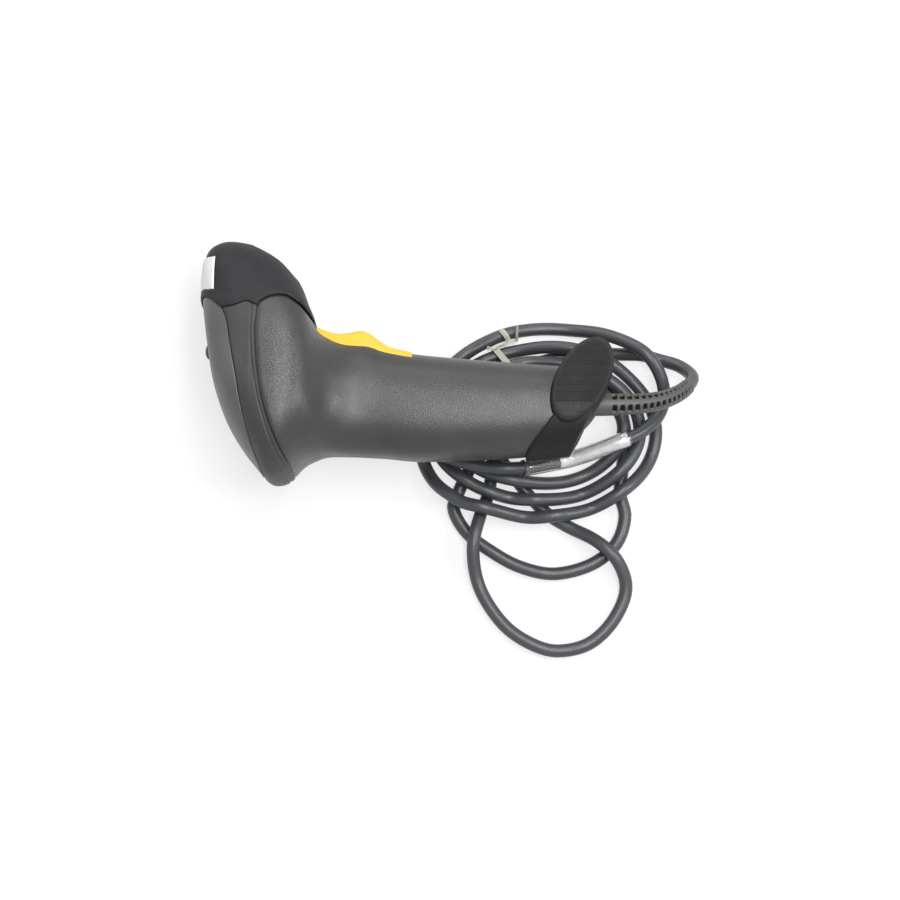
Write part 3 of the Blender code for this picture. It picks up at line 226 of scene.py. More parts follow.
@dataclass(frozen=True)
class MouldedFinish(Finish):
    """A moulded plastic or rubber, with the grain of its mould and the marks of use."""

    name: str
    colour: Point3
    roughness: float
    grain: Grain = Grain.SPARK
    grain_size: float = 0.00040
    grain_depth: float = 0.000030
    mottle: float = 0.10
    specular: float = 0.5
    coat: float = 0.0

    def mixed(self) -> bpy.types.Material:
        """Make the material: broad mottling, fine specks, grain and rubbed patches."""
        recipe = Recipe(self.name)
        broad = recipe.noise(0.016, 4.0)
        fine = recipe.noise(self.grain_size, 2.0)
        body = recipe.tint(broad, shade(self.colour, 1 - self.mottle), shade(self.colour, 1 + self.mottle))
        specks = recipe.tint(fine, (0.86, 0.86, 0.86), (1.0, 1.0, 1.0))
        rubbed = recipe.noise(0.006, 5.0)
        recipe.set(Base_Color=recipe.times(body, specks), Specular_IOR_Level=self.specular,
                   Roughness=recipe.span(rubbed, self.roughness - 0.05, self.roughness + 0.05),
                   Coat_Weight=self.coat, Coat_Roughness=0.25)
        layers = {
            Grain.SPARK: [(recipe.cells(self.grain_size * 1.4), self.grain_depth),
                          (fine, self.grain_depth * 0.7)],
            Grain.MATT: [(fine, self.grain_depth), (rubbed, self.grain_depth * 2)],
            Grain.SMOOTH: [(recipe.noise(0.0015, 3.0), self.grain_depth)],
        }
        recipe.bump(*layers[self.grain])
        return recipe.material


@dataclass(frozen=True)
class MetalFinish(Finish):
    """A bare metal with fine drawing lines."""

    name: str
    colour: Point3
    roughness: float
    lines: Point3 = (300.0, 4000.0, 4000.0)

    def mixed(self) -> bpy.types.Material:
        """Make the material: lines in its roughness and height, dull patches in its colour."""
        recipe = Recipe(self.name)
        drawn = recipe.noise(1.0, 3.0, recipe.stretched(self.lines))
        dull = recipe.noise(0.004, 4.0)
        recipe.set(Metallic=1.0, Base_Color=recipe.tint(dull, shade(self.colour, 0.86), self.colour),
                   Roughness=recipe.span(drawn, self.roughness - 0.07, self.roughness + 0.07))
        recipe.bump((drawn, 0.000008))
        return recipe.material


@dataclass(frozen=True)
class ClearFinish(Finish):
    """A see-through plastic or glass, lightly scuffed."""

    name: str
    colour: Point3
    roughness: float
    clearness: float
    index: float = 1.47

    def mixed(self) -> bpy.types.Material:
        """Make the material: scuffs in its roughness, slow ripples in its height."""
        recipe = Recipe(self.name)
        scuffs = recipe.noise(0.0012, 6.0)
        cast = recipe.tint(recipe.noise(0.003, 3.0), shade(self.colour, 0.94), self.colour)
        recipe.set(Base_Color=cast, Transmission_Weight=self.clearness, IOR=self.index,
                   Roughness=recipe.span(scuffs, self.roughness * 0.7, self.roughness * 1.3))
        recipe.bump((recipe.noise(0.0030, 2.0), 0.00002))
        return recipe.material


@dataclass(frozen=True)
class PaperFinish(Finish):
    """A paper or foil label, or a paper covered wire, with fibres and handling marks."""

    name: str
    colour: Point3
    roughness: float
    metal: float = 0.0
    fibre: float = 0.00025

    def mixed(self) -> bpy.types.Material:
        """Make the material: fibres, and faint grey marks."""
        recipe = Recipe(self.name)
        fibres = recipe.noise(self.fibre, 4.0)
        marks = recipe.noise(0.0035, 5.0)
        body = recipe.tint(marks, shade(self.colour, 0.90), self.colour, 0.30, 0.50)
        recipe.set(Base_Color=recipe.times(body, recipe.tint(fibres, (0.93, 0.93, 0.93), (1.0, 1.0, 1.0))),
                   Metallic=self.metal,
                   Roughness=recipe.span(fibres, self.roughness - 0.06, self.roughness + 0.06))
        recipe.bump((fibres, 0.00002))
        return recipe.material


@dataclass(frozen=True)
class BoardFinish(Finish):
    """A lacquered circuit board or flat cable, with its tracks showing through."""

    name: str
    colour: Point3
    track: Point3
    pitch: float = 0.0016

    def mixed(self) -> bpy.types.Material:
        """Make the material: tracks in bands that wander, under a glossy lacquer."""
        recipe = Recipe(self.name)
        bands = recipe.node("ShaderNodeTexWave", Vector=recipe.coords, Scale=0.16 / self.pitch,
                            Distortion=1.5, Detail=2.0).outputs["Fac"]
        recipe.set(Base_Color=recipe.tint(bands, self.colour, self.track, 0.72, 0.78),
                   Roughness=recipe.span(recipe.noise(0.002, 3.0), 0.32, 0.42))
        recipe.bump((bands, 0.00002))
        return recipe.material


HOUSING = MouldedFinish("housing_plastic", (0.036, 0.0355, 0.035), 0.35, grain_size=0.00030,
                        grain_depth=0.000048)
COVER = MouldedFinish("cover_plastic", (0.098, 0.100, 0.103), 0.44, grain_size=0.00034, grain_depth=0.000035)
BAND = MouldedFinish("band_rubber", (0.044, 0.043, 0.042), 0.52, Grain.MATT, 0.00030, 0.000045, specular=0.40)
NOSE = MouldedFinish("nose_rubber", (0.018, 0.018, 0.021), 0.60, Grain.MATT, 0.00040, 0.000080, specular=0.28)
TRIGGER = MouldedFinish("trigger_plastic", (0.82, 0.53, 0.024), 0.40, Grain.SMOOTH, 0.0003, 0.00003, 0.03)
BOOT = MouldedFinish("foot_rubber", (0.008, 0.008, 0.008), 0.52, Grain.MATT, 0.00035, 0.000045, specular=0.22)
PAD = MouldedFinish("pad_rubber", (0.017, 0.017, 0.017), 0.56, Grain.MATT, 0.00045, 0.000080, 0.25,
                    specular=0.28)
CORD = MouldedFinish("cord_pvc", (0.048, 0.051, 0.057), 0.38, Grain.SMOOTH, 0.0005, 0.00004, 0.08)
RELIEF = MouldedFinish("relief_pvc", (0.074, 0.072, 0.068), 0.48, Grain.MATT, 0.00030, 0.000030)
BLACK = MouldedFinish("black_plastic", (0.022, 0.022, 0.024), 0.42, grain_size=0.0003, grain_depth=0.000020)
# Near-black core inside the strain relief: it stands for the cable, darkened past the cord's own colour to
# paint the shade seen through the slots.
SHADE_CORE = MouldedFinish("core_slot_shade", (0.006, 0.006, 0.006), 0.70, Grain.MATT, 0.0003, 0.00003, specular=0.12)
SMOKED = MouldedFinish("smoked_lens", (0.060, 0.060, 0.064), 0.16, Grain.SMOOTH, 0.0003, 0.00001, 0.05)
WINDOW = ClearFinish("window_acrylic", (0.30, 0.010, 0.012), 0.05, 0.85, 1.49)
LENS = ClearFinish("lens_acrylic", (0.60, 0.62, 0.62), 0.14, 0.45)
SLEEVE = ClearFinish("sleeve_film", (0.95, 0.95, 0.95), 0.10, 0.96, 1.38)
LABEL = PaperFinish("label_paper", (0.88, 0.88, 0.87), 0.55)
FOIL = PaperFinish("label_foil", (0.78, 0.78, 0.78), 0.40, 0.20, 0.0004)
TIE = PaperFinish("tie_paper", (0.46, 0.445, 0.385), 0.60)
STEEL = MetalFinish("steel", (0.62, 0.62, 0.63), 0.28)
ALUMINIUM = MetalFinish("aluminium", (0.72, 0.72, 0.73), 0.36)
COPPER = MetalFinish("copper_wire", (0.68, 0.32, 0.17), 0.34, (4000.0, 9000.0, 4000.0))
MIRROR = MetalFinish("mirror_coating", (0.90, 0.90, 0.91), 0.09, (400.0, 400.0, 400.0))
BOARD = BoardFinish("board_laminate", (0.020, 0.130, 0.055), (0.055, 0.230, 0.095))
FLEX = BoardFinish("flex_film", (0.42, 0.20, 0.04), (0.60, 0.32, 0.10), 0.0010)


@dataclass
class Profile:
    """A smooth curve of one value along another that never overshoots its points.

    Attributes:
        points: The points, with the first value rising.
        ease: Width over which its bends are softened.
    """

    points: Sequence[Point2]
    ease: float = 0.0
    places: np.ndarray = field(init=False, repr=False)
    values: np.ndarray = field(init=False, repr=False)

    def __post_init__(self) -> None:
        """Work out the curve at close places."""
        xs, ys = np.array(self.points).T
        steps = np.diff(ys) / np.diff(xs)
        both = steps[:-1] * steps[1:]
        total = np.where(both > 0.0, steps[:-1] + steps[1:], 1.0)
        slopes = np.concatenate([steps[:1], np.where(both > 0.0, 2 * both / total, 0.0), steps[-1:]])
        self.places = np.linspace(xs[0], xs[-1], 1601)
        index = np.clip(np.searchsorted(xs, self.places, side="right") - 1, 0, len(xs) - 2)
        width = xs[index + 1] - xs[index]
        share = (self.places - xs[index]) / width
        rest = 1 - share
        self.values = (rest ** 2 * (ys[index] * (1 + 2 * share) + slopes[index] * width * share)
                       + share ** 2 * (ys[index + 1] * (1 + 2 * rest) - slopes[index + 1] * width * rest))
        reach = int(3 * self.ease / (self.places[1] - self.places[0]))
        if reach:
            weights = np.exp(-0.5 * (3 * np.arange(-reach, reach + 1) / reach) ** 2)
            before = 2 * self.values[0] - self.values[reach:0:-1]
            after = 2 * self.values[-1] - self.values[-2:-reach - 2:-1]
            padded = np.concatenate([before, self.values, after])
            self.values = np.convolve(padded, weights / weights.sum(), mode="valid")

    def at(self, place: float) -> float:
        """The curve's value at a place."""
        return float(np.interp(place, self.places, self.values))


def crossing(test: Callable[[float], bool], low: float, high: float) -> float:
    """Where a test changes.

    Args:
        test: False at the low place and true at the high one.
        low: The low place.
        high: The high place.
    Returns:
        The place between them.
    """
    for _ in range(36):
        middle = (low + high) / 2
        low, high = (low, middle) if test(middle) else (middle, high)
    return (low + high) / 2


def hump(distance: float, middle: float, width: float) -> float:
    """A soft hump of height 1 round a middle."""
    return math.exp(-((distance - middle) / width) ** 2)


def eased(value: float, start: float, end: float) -> float:
    """A smooth step from 0 at the start to 1 at the end."""
    share = min(max((value - start) / (end - start), 0.0), 1.0)
    return share * share * (3 - 2 * share)


def patch(columns: int, rows: int, place: Callable[[float, float], Sequence[float]]) -> Shape:
    """A grid of faces, put in place corner by corner.

    Args:
        columns: Number of faces along the first share.
        rows: Number of faces along the second share.
        place: Gives a corner's point from its two shares, each from 0 to 1.
    Returns:
        The grid, with corners that fall together merged.
    """
    shape = bmesh.new()
    bmesh.ops.create_grid(shape, x_segments=columns, y_segments=rows, size=0.5)
    for vertex in shape.verts:
        vertex.co = place(min(max(vertex.co.x + 0.5, 0.0), 1.0), min(max(vertex.co.y + 0.5, 0.0), 1.0))
    bmesh.ops.remove_doubles(shape, verts=shape.verts, dist=1e-6)
    bmesh.ops.recalc_face_normals(shape, faces=shape.faces)
    return shape


def outward(shape: Shape, centre: Point3) -> Shape:
    """Turn an open shape's faces away from a point inside it.

    Args:
        shape: The shape to turn.
        centre: A point inside it.
    Returns:
        The same shape.
    """
    shape.normal_update()
    facing = sum((face.calc_center_median() - Vector(centre)).dot(face.normal) * face.calc_area()
                 for face in shape.faces)
    if facing < 0.0:
        bmesh.ops.reverse_faces(shape, faces=shape.faces)
    return shape


def mirrored(shape: Shape, keep: bool = True) -> Shape:
    """Mirror a shape about the scanner's middle plane.

    Args:
        shape: The shape on one side.
        keep: Whether the first side stays and the two are joined.
    Returns:
        The same bmesh, mirrored.
    """
    if keep:
        bmesh.ops.mirror(shape, geom=shape.verts[:] + shape.edges[:] + shape.faces[:],
                         matrix=Matrix.Translation((0.0, 0.0, -MID)), merge_dist=2e-6, axis="Z")
        bmesh.ops.remove_doubles(shape, verts=shape.verts, dist=1e-6)
        bmesh.ops.recalc_face_normals(shape, faces=shape.faces)
    else:
        for vertex in shape.verts:
            vertex.co.z = 2 * MID - vertex.co.z
        bmesh.ops.reverse_faces(shape, faces=shape.faces)
    return shape


def closed(shape: Shape) -> Shape:
    """Fill a shape's open ends with faces and turn all faces outward.

    Args:
        shape: The shape to close.
    Returns:
        The same shape.
    """
    open_edges = [edge for edge in shape.edges if edge.is_boundary]
    bmesh.ops.holes_fill(shape, edges=open_edges, sides=0)
    bmesh.ops.recalc_face_normals(shape, faces=shape.faces)
    return shape


def mesh_of(name: str, shape: Shape) -> bpy.types.Mesh:
    """A mesh with smooth faces from a bmesh, which is used up.

    Args:
        name: The mesh's name.
        shape: The shape to turn into it.
    Returns:
        The mesh.
    """
    mesh = bpy.data.meshes.new(name)
    shape.to_mesh(mesh)
    shape.free()
    mesh.polygons.foreach_set("use_smooth", [True] * len(mesh.polygons))
    return mesh


def carved(shape: Shape, cutters: Sequence[Shape] = (), operation: str = "DIFFERENCE",
           wall: float = 0.0, side: float = -1.0) -> Shape:
    """Give a shape a wall and cut it.

    Args:
        shape: An open shape if it gets a wall, or a closed one.
        cutters: Closed shapes to take away or join.
        operation: What the cutters do.
        wall: Thickness of the wall.
        side: -1 for a wall inside the shape, 1 for one outside.
    Returns:
        A new closed bmesh.
    """
    collection = bpy.context.scene.collection
    holders = [bpy.data.objects.new("carving", mesh_of("carving", shape))]
    if wall:
        step = holders[0].modifiers.new("wall", "SOLIDIFY")
        step.thickness, step.offset, step.use_even_offset = wall, side, False
    for cutter in cutters:
        holders[0].modifiers.new("plane", "TRIANGULATE")
        bmesh.ops.triangulate(cutter, faces=cutter.faces)
        holders.append(bpy.data.objects.new("cutter", mesh_of("cutter", cutter)))
        step = holders[0].modifiers.new("cut", "BOOLEAN")
        step.operation, step.solver, step.object = operation, "EXACT", holders[-1]
    for holder in holders:
        collection.objects.link(holder)
    graph = bpy.context.evaluated_depsgraph_get()
    mesh = bpy.data.meshes.new_from_object(holders[0].evaluated_get(graph))
    result = bmesh.new()
    result.from_mesh(mesh)
    bpy.data.meshes.remove(mesh)
    for holder in holders:
        spent = holder.data
        bpy.data.objects.remove(holder)
        bpy.data.meshes.remove(spent)
    return result


def joined(*shapes: Shape) -> Shape:
    """Several shapes in one bmesh; the others are used up.

    Args:
        shapes: The shapes, which are used up.
    Returns:
        One shape with all of them.
    """
    for shape in shapes[1:]:
        mesh = mesh_of("joining", shape)
        shapes[0].from_mesh(mesh)
        bpy.data.meshes.remove(mesh)
    return shapes[0]


def show(name: str, shape: Shape, finish: Finish, nodes: Sequence[str] = (),
         body: Body = Body.SCANNER, rounding: float = 0.0, segments: int = 3) -> Piece:
    """Put a finished piece into the scene.

    Args:
        name: The piece's name.
        shape: Its bmesh, which is used up.
        finish: Its finish.
        nodes: CAD nodes that it stands for.
        body: The body that it rides on.
        rounding: Radius of its edges.
        segments: Faces across each rounded edge.
    Returns:
        The piece.
    """
    mesh = mesh_of(name, shape)
    mesh.materials.append(finish.material())
    piece = bpy.data.objects.new(name, mesh)
    bpy.context.scene.collection.objects.link(piece)
    if rounding:
        step = piece.modifiers.new("rounding", "BEVEL")
        step.width, step.segments, step.profile = rounding, segments, 0.5
        step.limit_method, step.angle_limit = "ANGLE", math.radians(38.0)
        step.harden_normals = True
    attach(piece, body.value)
    if nodes:
        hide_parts(*nodes)
    log.info("%s: %d faces, rides on %s", name, len(mesh.polygons), body.value)
    return piece


def block(x: Point2, y: Point2, z: Point2) -> Shape:
    """A block between the low and high value of each axis.

    Args:
        x: Its reach along X.
        y: Its reach along Y.
        z: Its reach along Z.
    Returns:
        The block.
    """
    shape = bmesh.new()
    bmesh.ops.create_cube(shape, size=1.0)
    bmesh.ops.scale(shape, verts=shape.verts, vec=(x[1] - x[0], y[1] - y[0], z[1] - z[0]))
    middle = [(span[0] + span[1]) / 2 for span in (x, y, z)]
    bmesh.ops.translate(shape, verts=shape.verts, vec=middle)
    return shape


def rod(start: Point3, axis: Point3, length: float, radius: float, sides: int = 48) -> Shape:
    """A closed cylinder from its start along an axis.

    Args:
        start: Middle of its first end.
        axis: Its direction.
        length: Its length.
        radius: Its radius.
        sides: Number of sides.
    Returns:
        The rod.
    """
    shape = bmesh.new()
    bmesh.ops.create_cone(shape, cap_ends=True, segments=sides, radius1=radius, radius2=radius, depth=length)
    bmesh.ops.translate(shape, verts=shape.verts, vec=(0.0, 0.0, length / 2))
    turn = Vector((0.0, 0.0, 1.0)).rotation_difference(Vector(axis)).to_matrix()
    bmesh.ops.rotate(shape, verts=shape.verts, matrix=turn)
    bmesh.ops.translate(shape, verts=shape.verts, vec=start)
    return shape


def prism(outline: Sequence[Point2], z: Point2) -> Shape:
    """A flat outline in X and Y, raised between two heights.

    Args:
        outline: Points of its outline.
        z: Its reach along Z.
    Returns:
        The prism.
    """
    shape = bmesh.new()
    base = shape.faces.new([shape.verts.new((x, y, z[0])) for x, y in outline])
    raised = bmesh.ops.extrude_face_region(shape, geom=[base])["geom"]
    bmesh.ops.translate(shape, verts=[part for part in raised if isinstance(part, bmesh.types.BMVert)],
                        vec=(0.0, 0.0, z[1] - z[0]))
    bmesh.ops.recalc_face_normals(shape, faces=shape.faces)
    return shape


def swept(path: np.ndarray, around: int, section: Callable[[float, float], Point2],
          ends: bool = True) -> Shape:
    """A tube along a path.

    Args:
        path: Points of its middle line.
        around: Number of faces round it.
        section: Gives the sideways and upward reach from the distance along it and the angle round it.
        ends: Whether its ends are closed.
    Returns:
        The tube.
    """
    reach = np.concatenate([[0.0], np.cumsum(np.linalg.norm(np.diff(path, axis=0), axis=1))])
    ahead = np.gradient(path, axis=0)
    ahead /= np.linalg.norm(ahead, axis=1, keepdims=True)
    sides = np.cross(ahead, (0.0, 0.0, 1.0))
    sides /= np.linalg.norm(sides, axis=1, keepdims=True)
    lifts = np.cross(sides, ahead)

    def place(turn: float, share: float) -> np.ndarray:
        """Point of the tube from the shares round it and along it."""
        index = int(round(share * (len(path) - 1)))
        side, lift = section(reach[index], 2 * math.pi * turn)
        return path[index] + sides[index] * side + lifts[index] * lift

    shape = patch(around, len(path) - 1, place)
    return closed(shape) if ends else outward(shape, tuple(path[len(path) // 2]))


def smooth_route(points: Sequence[Point3], step: float, shares: int = 24) -> tuple[np.ndarray, np.ndarray]:
    """A smooth curve through points.

    Args:
        points: The points.
        step: Distance between the curve's own points.
        shares: Fine steps between two given points.
    Returns:
        The curve's points, and the index of each given point among them.
    """
    path = np.array(points)
    padded = np.vstack([2 * path[0] - path[1], path, 2 * path[-1] - path[-2]])
    fine = []
    for index in range(1, len(padded) - 2):
        before, start, end, after = padded[index - 1:index + 3]
        for share in np.linspace(0.0, 1.0, shares, endpoint=False):
            fine.append(0.5 * (2 * start + (end - before) * share
                               + (2 * before - 5 * start + 4 * end - after) * share ** 2
                               + (3 * start - before - 3 * end + after) * share ** 3))
    fine = np.array(fine + [path[-1]])
    reach = np.concatenate([[0.0], np.cumsum(np.linalg.norm(np.diff(fine, axis=0), axis=1))])
    places = np.linspace(0.0, reach[-1], int(round(reach[-1] / step)) + 1)
    route = np.stack([np.interp(places, reach, fine[:, axis]) for axis in range(3)], axis=1)
    picks = np.rint(reach[::shares] / reach[-1] * (len(places) - 1)).astype(int)
    return route, picks


@dataclass
class Studio:
    """Camera, floor and soft light of the photograph's view."""

    target: Point3 = (0.0156, -0.0326, 0.0315)
    elevation: float = math.radians(79.0)
    distance: float = 0.700
    lens: float = 76.16
    floor_size: float = 6.0
    floor_colour: Point3 = (0.94, 0.94, 0.94)
    ambient: float = 0.23

    def camera(self) -> None:
        """Make the camera at the photograph's angle."""
        data = bpy.data.cameras.new("camera")
        data.lens, data.sensor_width = self.lens, 36.0
        data.clip_start, data.clip_end = 0.01, 20.0
        back = Vector((0.0, -math.cos(self.elevation), math.sin(self.elevation)))
        item = bpy.data.objects.new("camera", data)
        item.location = Vector(self.target) + back * self.distance
        item.rotation_euler = (-back).to_track_quat("-Z", "Y").to_euler()
        bpy.context.scene.collection.objects.link(item)
        bpy.context.scene.camera = item

    def seen_white(self, tree: bpy.types.NodeTree) -> bpy.types.NodeSocket:
        """A value that is 1 for rays that see the background, straight or through a reflection.

        Args:
            tree: The node tree that gets it.
        Returns:
            The value's socket.
        """
        path = tree.nodes.new("ShaderNodeLightPath")
        value = path.outputs["Is Camera Ray"]
        for name in ("Is Glossy Ray", "Is Transmission Ray"):
            most = tree.nodes.new("ShaderNodeMath")
            most.operation = "MAXIMUM"
            tree.links.new(value, most.inputs[0])
            tree.links.new(path.outputs[name], most.inputs[1])
            value = most.outputs[0]
        return value

    def surroundings(self) -> None:
        """Make the white surroundings, dimmer as a light than as a background."""
        world = bpy.data.worlds.new("surroundings")
        bpy.context.scene.world = world
        world.use_nodes = True
        tree = world.node_tree
        spread = tree.nodes.new("ShaderNodeMapRange")
        tree.links.new(self.seen_white(tree), spread.inputs["Value"])
        spread.inputs["To Min"].default_value = self.ambient
        spread.inputs["To Max"].default_value = 1.0
        back = tree.nodes["Background"]
        back.inputs["Color"].default_value = (1.0, 1.0, 1.0, 1.0)
        tree.links.new(spread.outputs["Result"], back.inputs["Strength"])

    def floor(self) -> None:
        """Make the pale floor, which shows white and keeps a soft shadow."""
        shape = bmesh.new()
        bmesh.ops.create_grid(shape, x_segments=1, y_segments=1, size=self.floor_size / 2)
        bmesh.ops.translate(shape, verts=shape.verts, vec=(0.0, 0.0, -0.0003))
        material = bpy.data.materials.new("floor")
        material.use_nodes = True
        tree = material.node_tree
        paint = tree.nodes["Principled BSDF"]
        paint.inputs["Base Color"].default_value = (*self.floor_colour, 1.0)
        paint.inputs["Roughness"].default_value = 0.9
        glow = tree.nodes.new("ShaderNodeEmission")
        blend = tree.nodes.new("ShaderNodeMixShader")
        half = tree.nodes.new("ShaderNodeMath")
        half.operation = "MULTIPLY"
        half.inputs[1].default_value = 0.72
        tree.links.new(self.seen_white(tree), half.inputs[0])
        tree.links.new(half.outputs[0], blend.inputs[0])
        tree.links.new(paint.outputs[0], blend.inputs[1])
        tree.links.new(glow.outputs[0], blend.inputs[2])
        tree.links.new(blend.outputs[0], tree.nodes["Material Output"].inputs["Surface"])
        mesh = mesh_of("floor", shape)
        mesh.materials.append(material)
        item = bpy.data.objects.new("floor", mesh)
        bpy.context.scene.collection.objects.link(item)
        item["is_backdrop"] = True

    def lamp(self, name: str, place: Point3, aim: Point3, size: Point2, power: float) -> None:
        """Hang one soft rectangular lamp.

        Args:
            name: The lamp's name.
            place: Where it hangs.
            aim: What it points at.
            size: Its width and height.
            power: Its power in watts.
        """
        data = bpy.data.lights.new(name, "AREA")
        data.shape, data.size, data.size_y, data.energy = "RECTANGLE", size[0], size[1], power
        item = bpy.data.objects.new(name, data)
        item.location = place
        item.rotation_euler = (Vector(aim) - Vector(place)).to_track_quat("-Z", "Y").to_euler()
        bpy.context.scene.collection.objects.link(item)

    def build(self) -> None:
        """Set up the view, the floor and the light."""
        bpy.context.scene.view_settings.view_transform = "Standard"
        self.camera()
        self.surroundings()
        self.floor()
        middle = (0.0, -0.02, 0.03)
        self.lamp("overhead", (0.16, -0.02, 0.85), middle, (0.80, 0.13), 6.3)
        self.lamp("right_side", (0.62, -0.03, 0.62), middle, (0.34, 0.14), 2.9)
        self.lamp("far_side", (-0.30, 0.80, 0.62), middle, (0.9, 0.5), 4.2)
        log.info("camera, floor and lamps")


@dataclass
class BodyForm:
    """The outer form that the shells share: a rounded section carried along X."""

    front_outline: Sequence[Point2] = (
        (-0.0758, 0.0322), (-0.0750, 0.0372), (-0.0737, 0.0401), (-0.0713, 0.0422), (-0.0660, 0.0437),
        (-0.0570, 0.0424), (-0.0480, 0.0379), (-0.0435, 0.0337), (-0.0390, 0.0272), (-0.0366, 0.0212),
        (-0.0349, 0.0145), (-0.0330, 0.0104), (-0.0290, 0.0082), (-0.0230, 0.0070), (-0.0155, 0.0072),
        (-0.0085, 0.0050), (0.0046, 0.0027), (0.0450, -0.0008), (0.0800, -0.0030))
    rear_outline: Sequence[Point2] = (
        (-0.0758, 0.0222), (-0.0750, 0.0160), (-0.0738, 0.0085), (-0.0713, -0.0085), (-0.0668, -0.0220),
        (-0.0600, -0.0336), (-0.0555, -0.0392), (-0.0511, -0.0444), (-0.0483, -0.0455), (-0.0450, -0.0449),
        (-0.0425, -0.0433), (-0.0403, -0.0402), (-0.0358, -0.0368), (-0.0285, -0.0348), (-0.0100, -0.0355),
        (0.0046, -0.0367), (0.0250, -0.0362), (0.0800, -0.0315))
    dome_widths: Sequence[Point2] = (
        (-0.0758, 0.30), (-0.0750, 0.48), (-0.0737, 0.63), (-0.0713, 0.78), (-0.0672, 0.90),
        (-0.0618, 0.975), (-0.0560, 1.0))
    flare_widths: Sequence[Point2] = (
        (-0.0560, 1.0), (-0.0480, 0.99), (-0.0420, 0.945), (-0.0380, 0.85), (-0.0340, 0.62),
        (-0.0300, 0.35), (-0.0250, 0.14), (-0.0180, 0.03), (-0.0080, 0.0), (0.0800, 0.0))
    front_power: float = 3.5
    handle_power: float = 2.3
    widest: float = 0.37
    ease: float = 0.0009

    def __post_init__(self) -> None:
        """Draw the outlines."""
        self.front = Profile(self.front_outline, self.ease)
        self.rear = Profile(self.rear_outline, self.ease)
        self.dome = Profile(self.dome_widths, self.ease)
        self.flare = Profile(self.flare_widths, 2 * self.ease)
        self.start = self.front_outline[0][0]

    def headness(self, x: float) -> float:
        """How much of the head's form the section at x has, from 0 to 1."""
        return self.flare.at(x) if x > self.flare_widths[0][0] else 1.0

    def half_width(self, x: float) -> float:
        """Half of the body's width at x.

        Args:
            x: Place along the body.
        Returns:
            Half the width there.
        """
        if x <= self.dome_widths[-1][0]:
            return HEAD_WIDTH / 2 * self.dome.at(x)
        return (HANDLE_WIDTH + (HEAD_WIDTH - HANDLE_WIDTH) * self.flare.at(x)) / 2

    def section(self, x: float, front: bool) -> tuple[float, float, float]:
        """The middle, signed depth and power of the section's front or rear half at x."""
        high, low, headness = self.front.at(x), self.rear.at(x), self.headness(x)
        middle = low + (high - low) * (0.5 + (self.widest - 0.5) * headness)
        if front:
            power = self.handle_power + (self.front_power - self.handle_power) * headness
            return middle, high - middle, power
        return middle, middle - low, self.handle_power

    def skin(self, x: float, angle: float) -> Vector:
        """Point on the right side of the body.

        Args:
            x: Place along the body.
            angle: Angle round the section, from -90 degrees at the rear to 90 at the front.
        Returns:
            The point.
        """
        middle, depth, power = self.section(x, angle > 0.0)
        across, along = max(math.cos(angle), 0.0), math.sin(angle)
        reach = (across ** power + abs(along) ** power) ** (-1 / power)
        return Vector((x, middle + depth * along * reach, MID + self.half_width(x) * across * reach))

    def point(self, x: float, angle: float, proud: float = 0.0) -> Vector:
        """Point on the right side, moved off the surface by a distance."""
        place = self.skin(x, angle)
        if proud:
            small = 0.004
            along = self.skin(x + 0.0004, angle) - self.skin(x - 0.0004, angle)
            inner = max(min(angle, QUARTER - small), small - QUARTER)
            round_it = self.skin(x, inner + small) - self.skin(x, inner - small)
            normal = round_it.cross(along).normalized()
            if abs(angle) > QUARTER - small:
                normal.z = 0.0
            place = place + normal * (proud if normal.dot(place - self.heart(x)) > 0 else -proud)
        return place

    def heart(self, x: float) -> Vector:
        """Point in the middle of the section at x."""
        return Vector((x, self.section(x, True)[0], MID))

    def angle_at(self, x: float, y: float) -> float:
        """Angle round the section at x of the point with a given y.

        Args:
            x: Place along the body.
            y: Height on its side.
        Returns:
            The angle round the body.
        """
        middle = self.section(x, True)[0]
        _, depth, power = self.section(x, y > middle)
        share = min(abs(y - middle) / depth, 1.0)
        angle = math.atan2(share, (1 - share ** power) ** (1 / power))
        return math.copysign(angle, y - middle)

    def front_at(self, x: float, z: float) -> float:
        """How far forward the body reaches at x and z.

        Args:
            x: Place along the body.
            z: Place across it.
        Returns:
            The front's y.
        """
        middle, depth, power = self.section(x, True)
        share = min(abs(z - MID) / self.half_width(x), 1.0)
        return middle + depth * (1 - share ** power) ** (1 / power)

    def holds(self, x: float, y: float, z: float) -> bool:
        """Whether a point lies in the body."""
        if x < self.start:
            return False
        middle = self.section(x, True)[0]
        _, depth, power = self.section(x, y > middle)
        return (abs(y - middle) / depth) ** power + (abs(z - MID) / self.half_width(x)) ** power < 1.0


